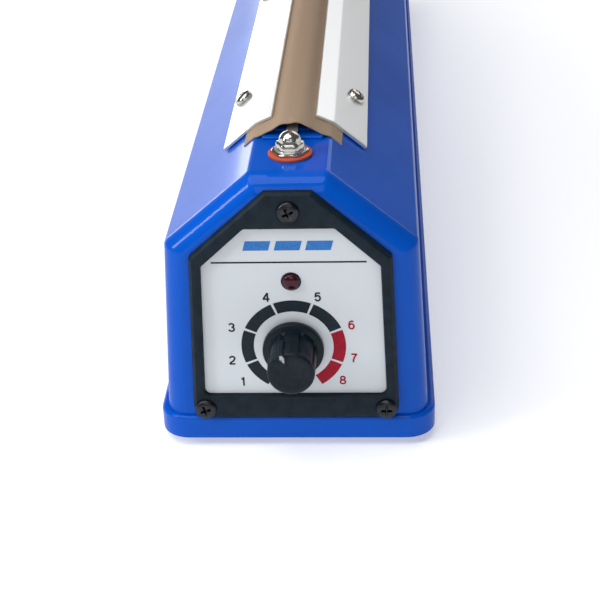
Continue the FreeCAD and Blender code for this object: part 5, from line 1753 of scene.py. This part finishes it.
@dataclass
class Studio:
    """Pale floor, soft lights and the camera."""

    camera: Spot = (0.0267, -0.5806, 0.2482)
    yaw: float = 3.9
    pitch: float = 28.9
    roll: float = -2.27
    lens: float = 83.8
    world: float = 0.13
    backdrop: float = 0.95
    floor_half: float = 6000.0
    floor_levels: Flat = (-20.0, -0.2)
    lamps: Tuple[Tuple[str, Spot, Spot, Flat, float], ...] = (
        ("top_light", (-0.5, -0.45, 1.7), (0.0, -0.15, 0.0), (1.6, 1.6), 27.0),
        ("left_light", (-1.3, -0.75, 0.85), (0.0, -0.2, 0.08), (0.3, 0.5), 9.0),
        ("back_left_light", (-1.2, 2.05, 0.2), (0.0, 0.0, 0.1), (2.0, 0.42), 14.0),
        ("back_right_light", (1.0, 2.2, 1.25), (0.0, 0.0, 0.1), (1.6, 1.6), 11.5),
        ("front_light", (0.1, -1.7, 0.9), (0.0, -0.2, 0.05), (0.9, 0.9), 4.5),
    )

    def lit(self) -> None:
        """Set up the floor, the world and the lights."""
        bpy.context.scene.view_settings.view_transform = "Standard"
        world = bpy.data.worlds.new("studio_world")
        bpy.context.scene.world = world
        world.use_nodes = True
        nodes, links = world.node_tree.nodes, world.node_tree.links
        sky = nodes["Background"]
        sky.inputs["Color"].default_value = (0.93, 0.96, 1.0, 1)
        seen, share = nodes.new("ShaderNodeLightPath"), nodes.new("ShaderNodeMapRange")
        share.inputs["To Min"].default_value = self.world
        share.inputs["To Max"].default_value = self.backdrop
        links.new(seen.outputs["Is Camera Ray"], share.inputs["Value"])
        links.new(share.outputs["Result"], sky.inputs["Strength"])
        for name, place, target, size, power in self.lamps:
            lamp = bpy.data.lights.new(name, "AREA")
            lamp.shape = "RECTANGLE"
            lamp.size, lamp.size_y = size
            lamp.energy = power
            obj = listed(bpy.data.objects.new(name, lamp))
            obj.location = place
            aim = Vector(target) - Vector(place)
            obj.rotation_euler = aim.to_track_quat("-Z", "Y").to_euler()
        half = self.floor_half
        ground = lofted("studio_floor", [[(-half, -half, z), (half, -half, z), (half, half, z),
                                          (-half, half, z)] for z in self.floor_levels])
        paper = Finish("studio_paper", "", (0.86, 0.87, 0.88), 0.8, Surface.GRAIN, mottle=0.01,
                       mottle_scale=3, scale=200, relief=0.02, specular=0.2, glow=0.34)
        ground.data.materials.append(paper.material())

    def shot(self) -> None:
        """Set up the camera."""
        data = bpy.data.cameras.new("camera")
        data.lens = self.lens
        data.clip_start = 0.01
        camera = listed(bpy.data.objects.new("camera", data))
        yaw, pitch, roll = (math.radians(v) for v in (self.yaw, self.pitch, self.roll))
        ahead = Vector((-math.sin(yaw) * math.cos(pitch), math.cos(yaw) * math.cos(pitch),
                        -math.sin(pitch)))
        level = Vector((math.cos(yaw), math.sin(yaw), 0))
        above = level.cross(ahead)
        right = math.cos(roll) * level + math.sin(roll) * above
        up = -math.sin(roll) * level + math.cos(roll) * above
        turn = Matrix((right, up, -ahead)).transposed().to_4x4()
        camera.matrix_world = Matrix.Translation(self.camera) @ turn
        bpy.context.scene.camera = camera


def main() -> None:
    """Build every sub-assembly in order."""
    logging.basicConfig(level=logging.INFO, format="%(name)s: %(message)s")
    studio, panel, line, arm, under = Studio(), FrontPanel(), SealingLine(), Arm(), Underside()
    studio.lit()
    studio.shot()
    for piece in (Housing(), panel, DialKnob(), Terminals(), line, arm, ReturnSpring(),
                  RearFittings(), under, PlainParts()):
        piece.build()

    screws = PanScrews()
    screws.build()
    screws.fit("panel_screws", "bezel_screws", panel.seats(), (3.3, 1.6, 7), BLACK_STEEL)
    screws.fit("clamp_plate_screws", "clamp_screws", line.seats(), (3.2, 2.2, 8), NICKEL)
    screws.fit("plate_screws", "base_plate_screws", under.seats(), (3.0, 1.8, 11), ZINC)
    bracket = [((x, y, BRACKET_FACE), (0, 0, 1)) for x, y in HINGE_SCREWS]
    screws.fit("bracket_screws", "hinge_screws", bracket, (3.0, 1.8, 9), NICKEL)
    sides = arm.seats([(side * x, y, arm.side_height) for x, y in arm.side_screws
                       for side in (-1, 1)])
    screws.fit("side_screws", "arm_side_screws", sides, (2.8, 1.8, 6), NICKEL, "arm")
    strip = arm.seats([(0, y, arm.strip_height) for y in arm.strip_screws])
    screws.fit("strip_screws", "holder_screws", strip, (2.8, 1.6, 2.6), NICKEL, "arm")
    screws.clear()


if __name__ == "__main__":
    main()
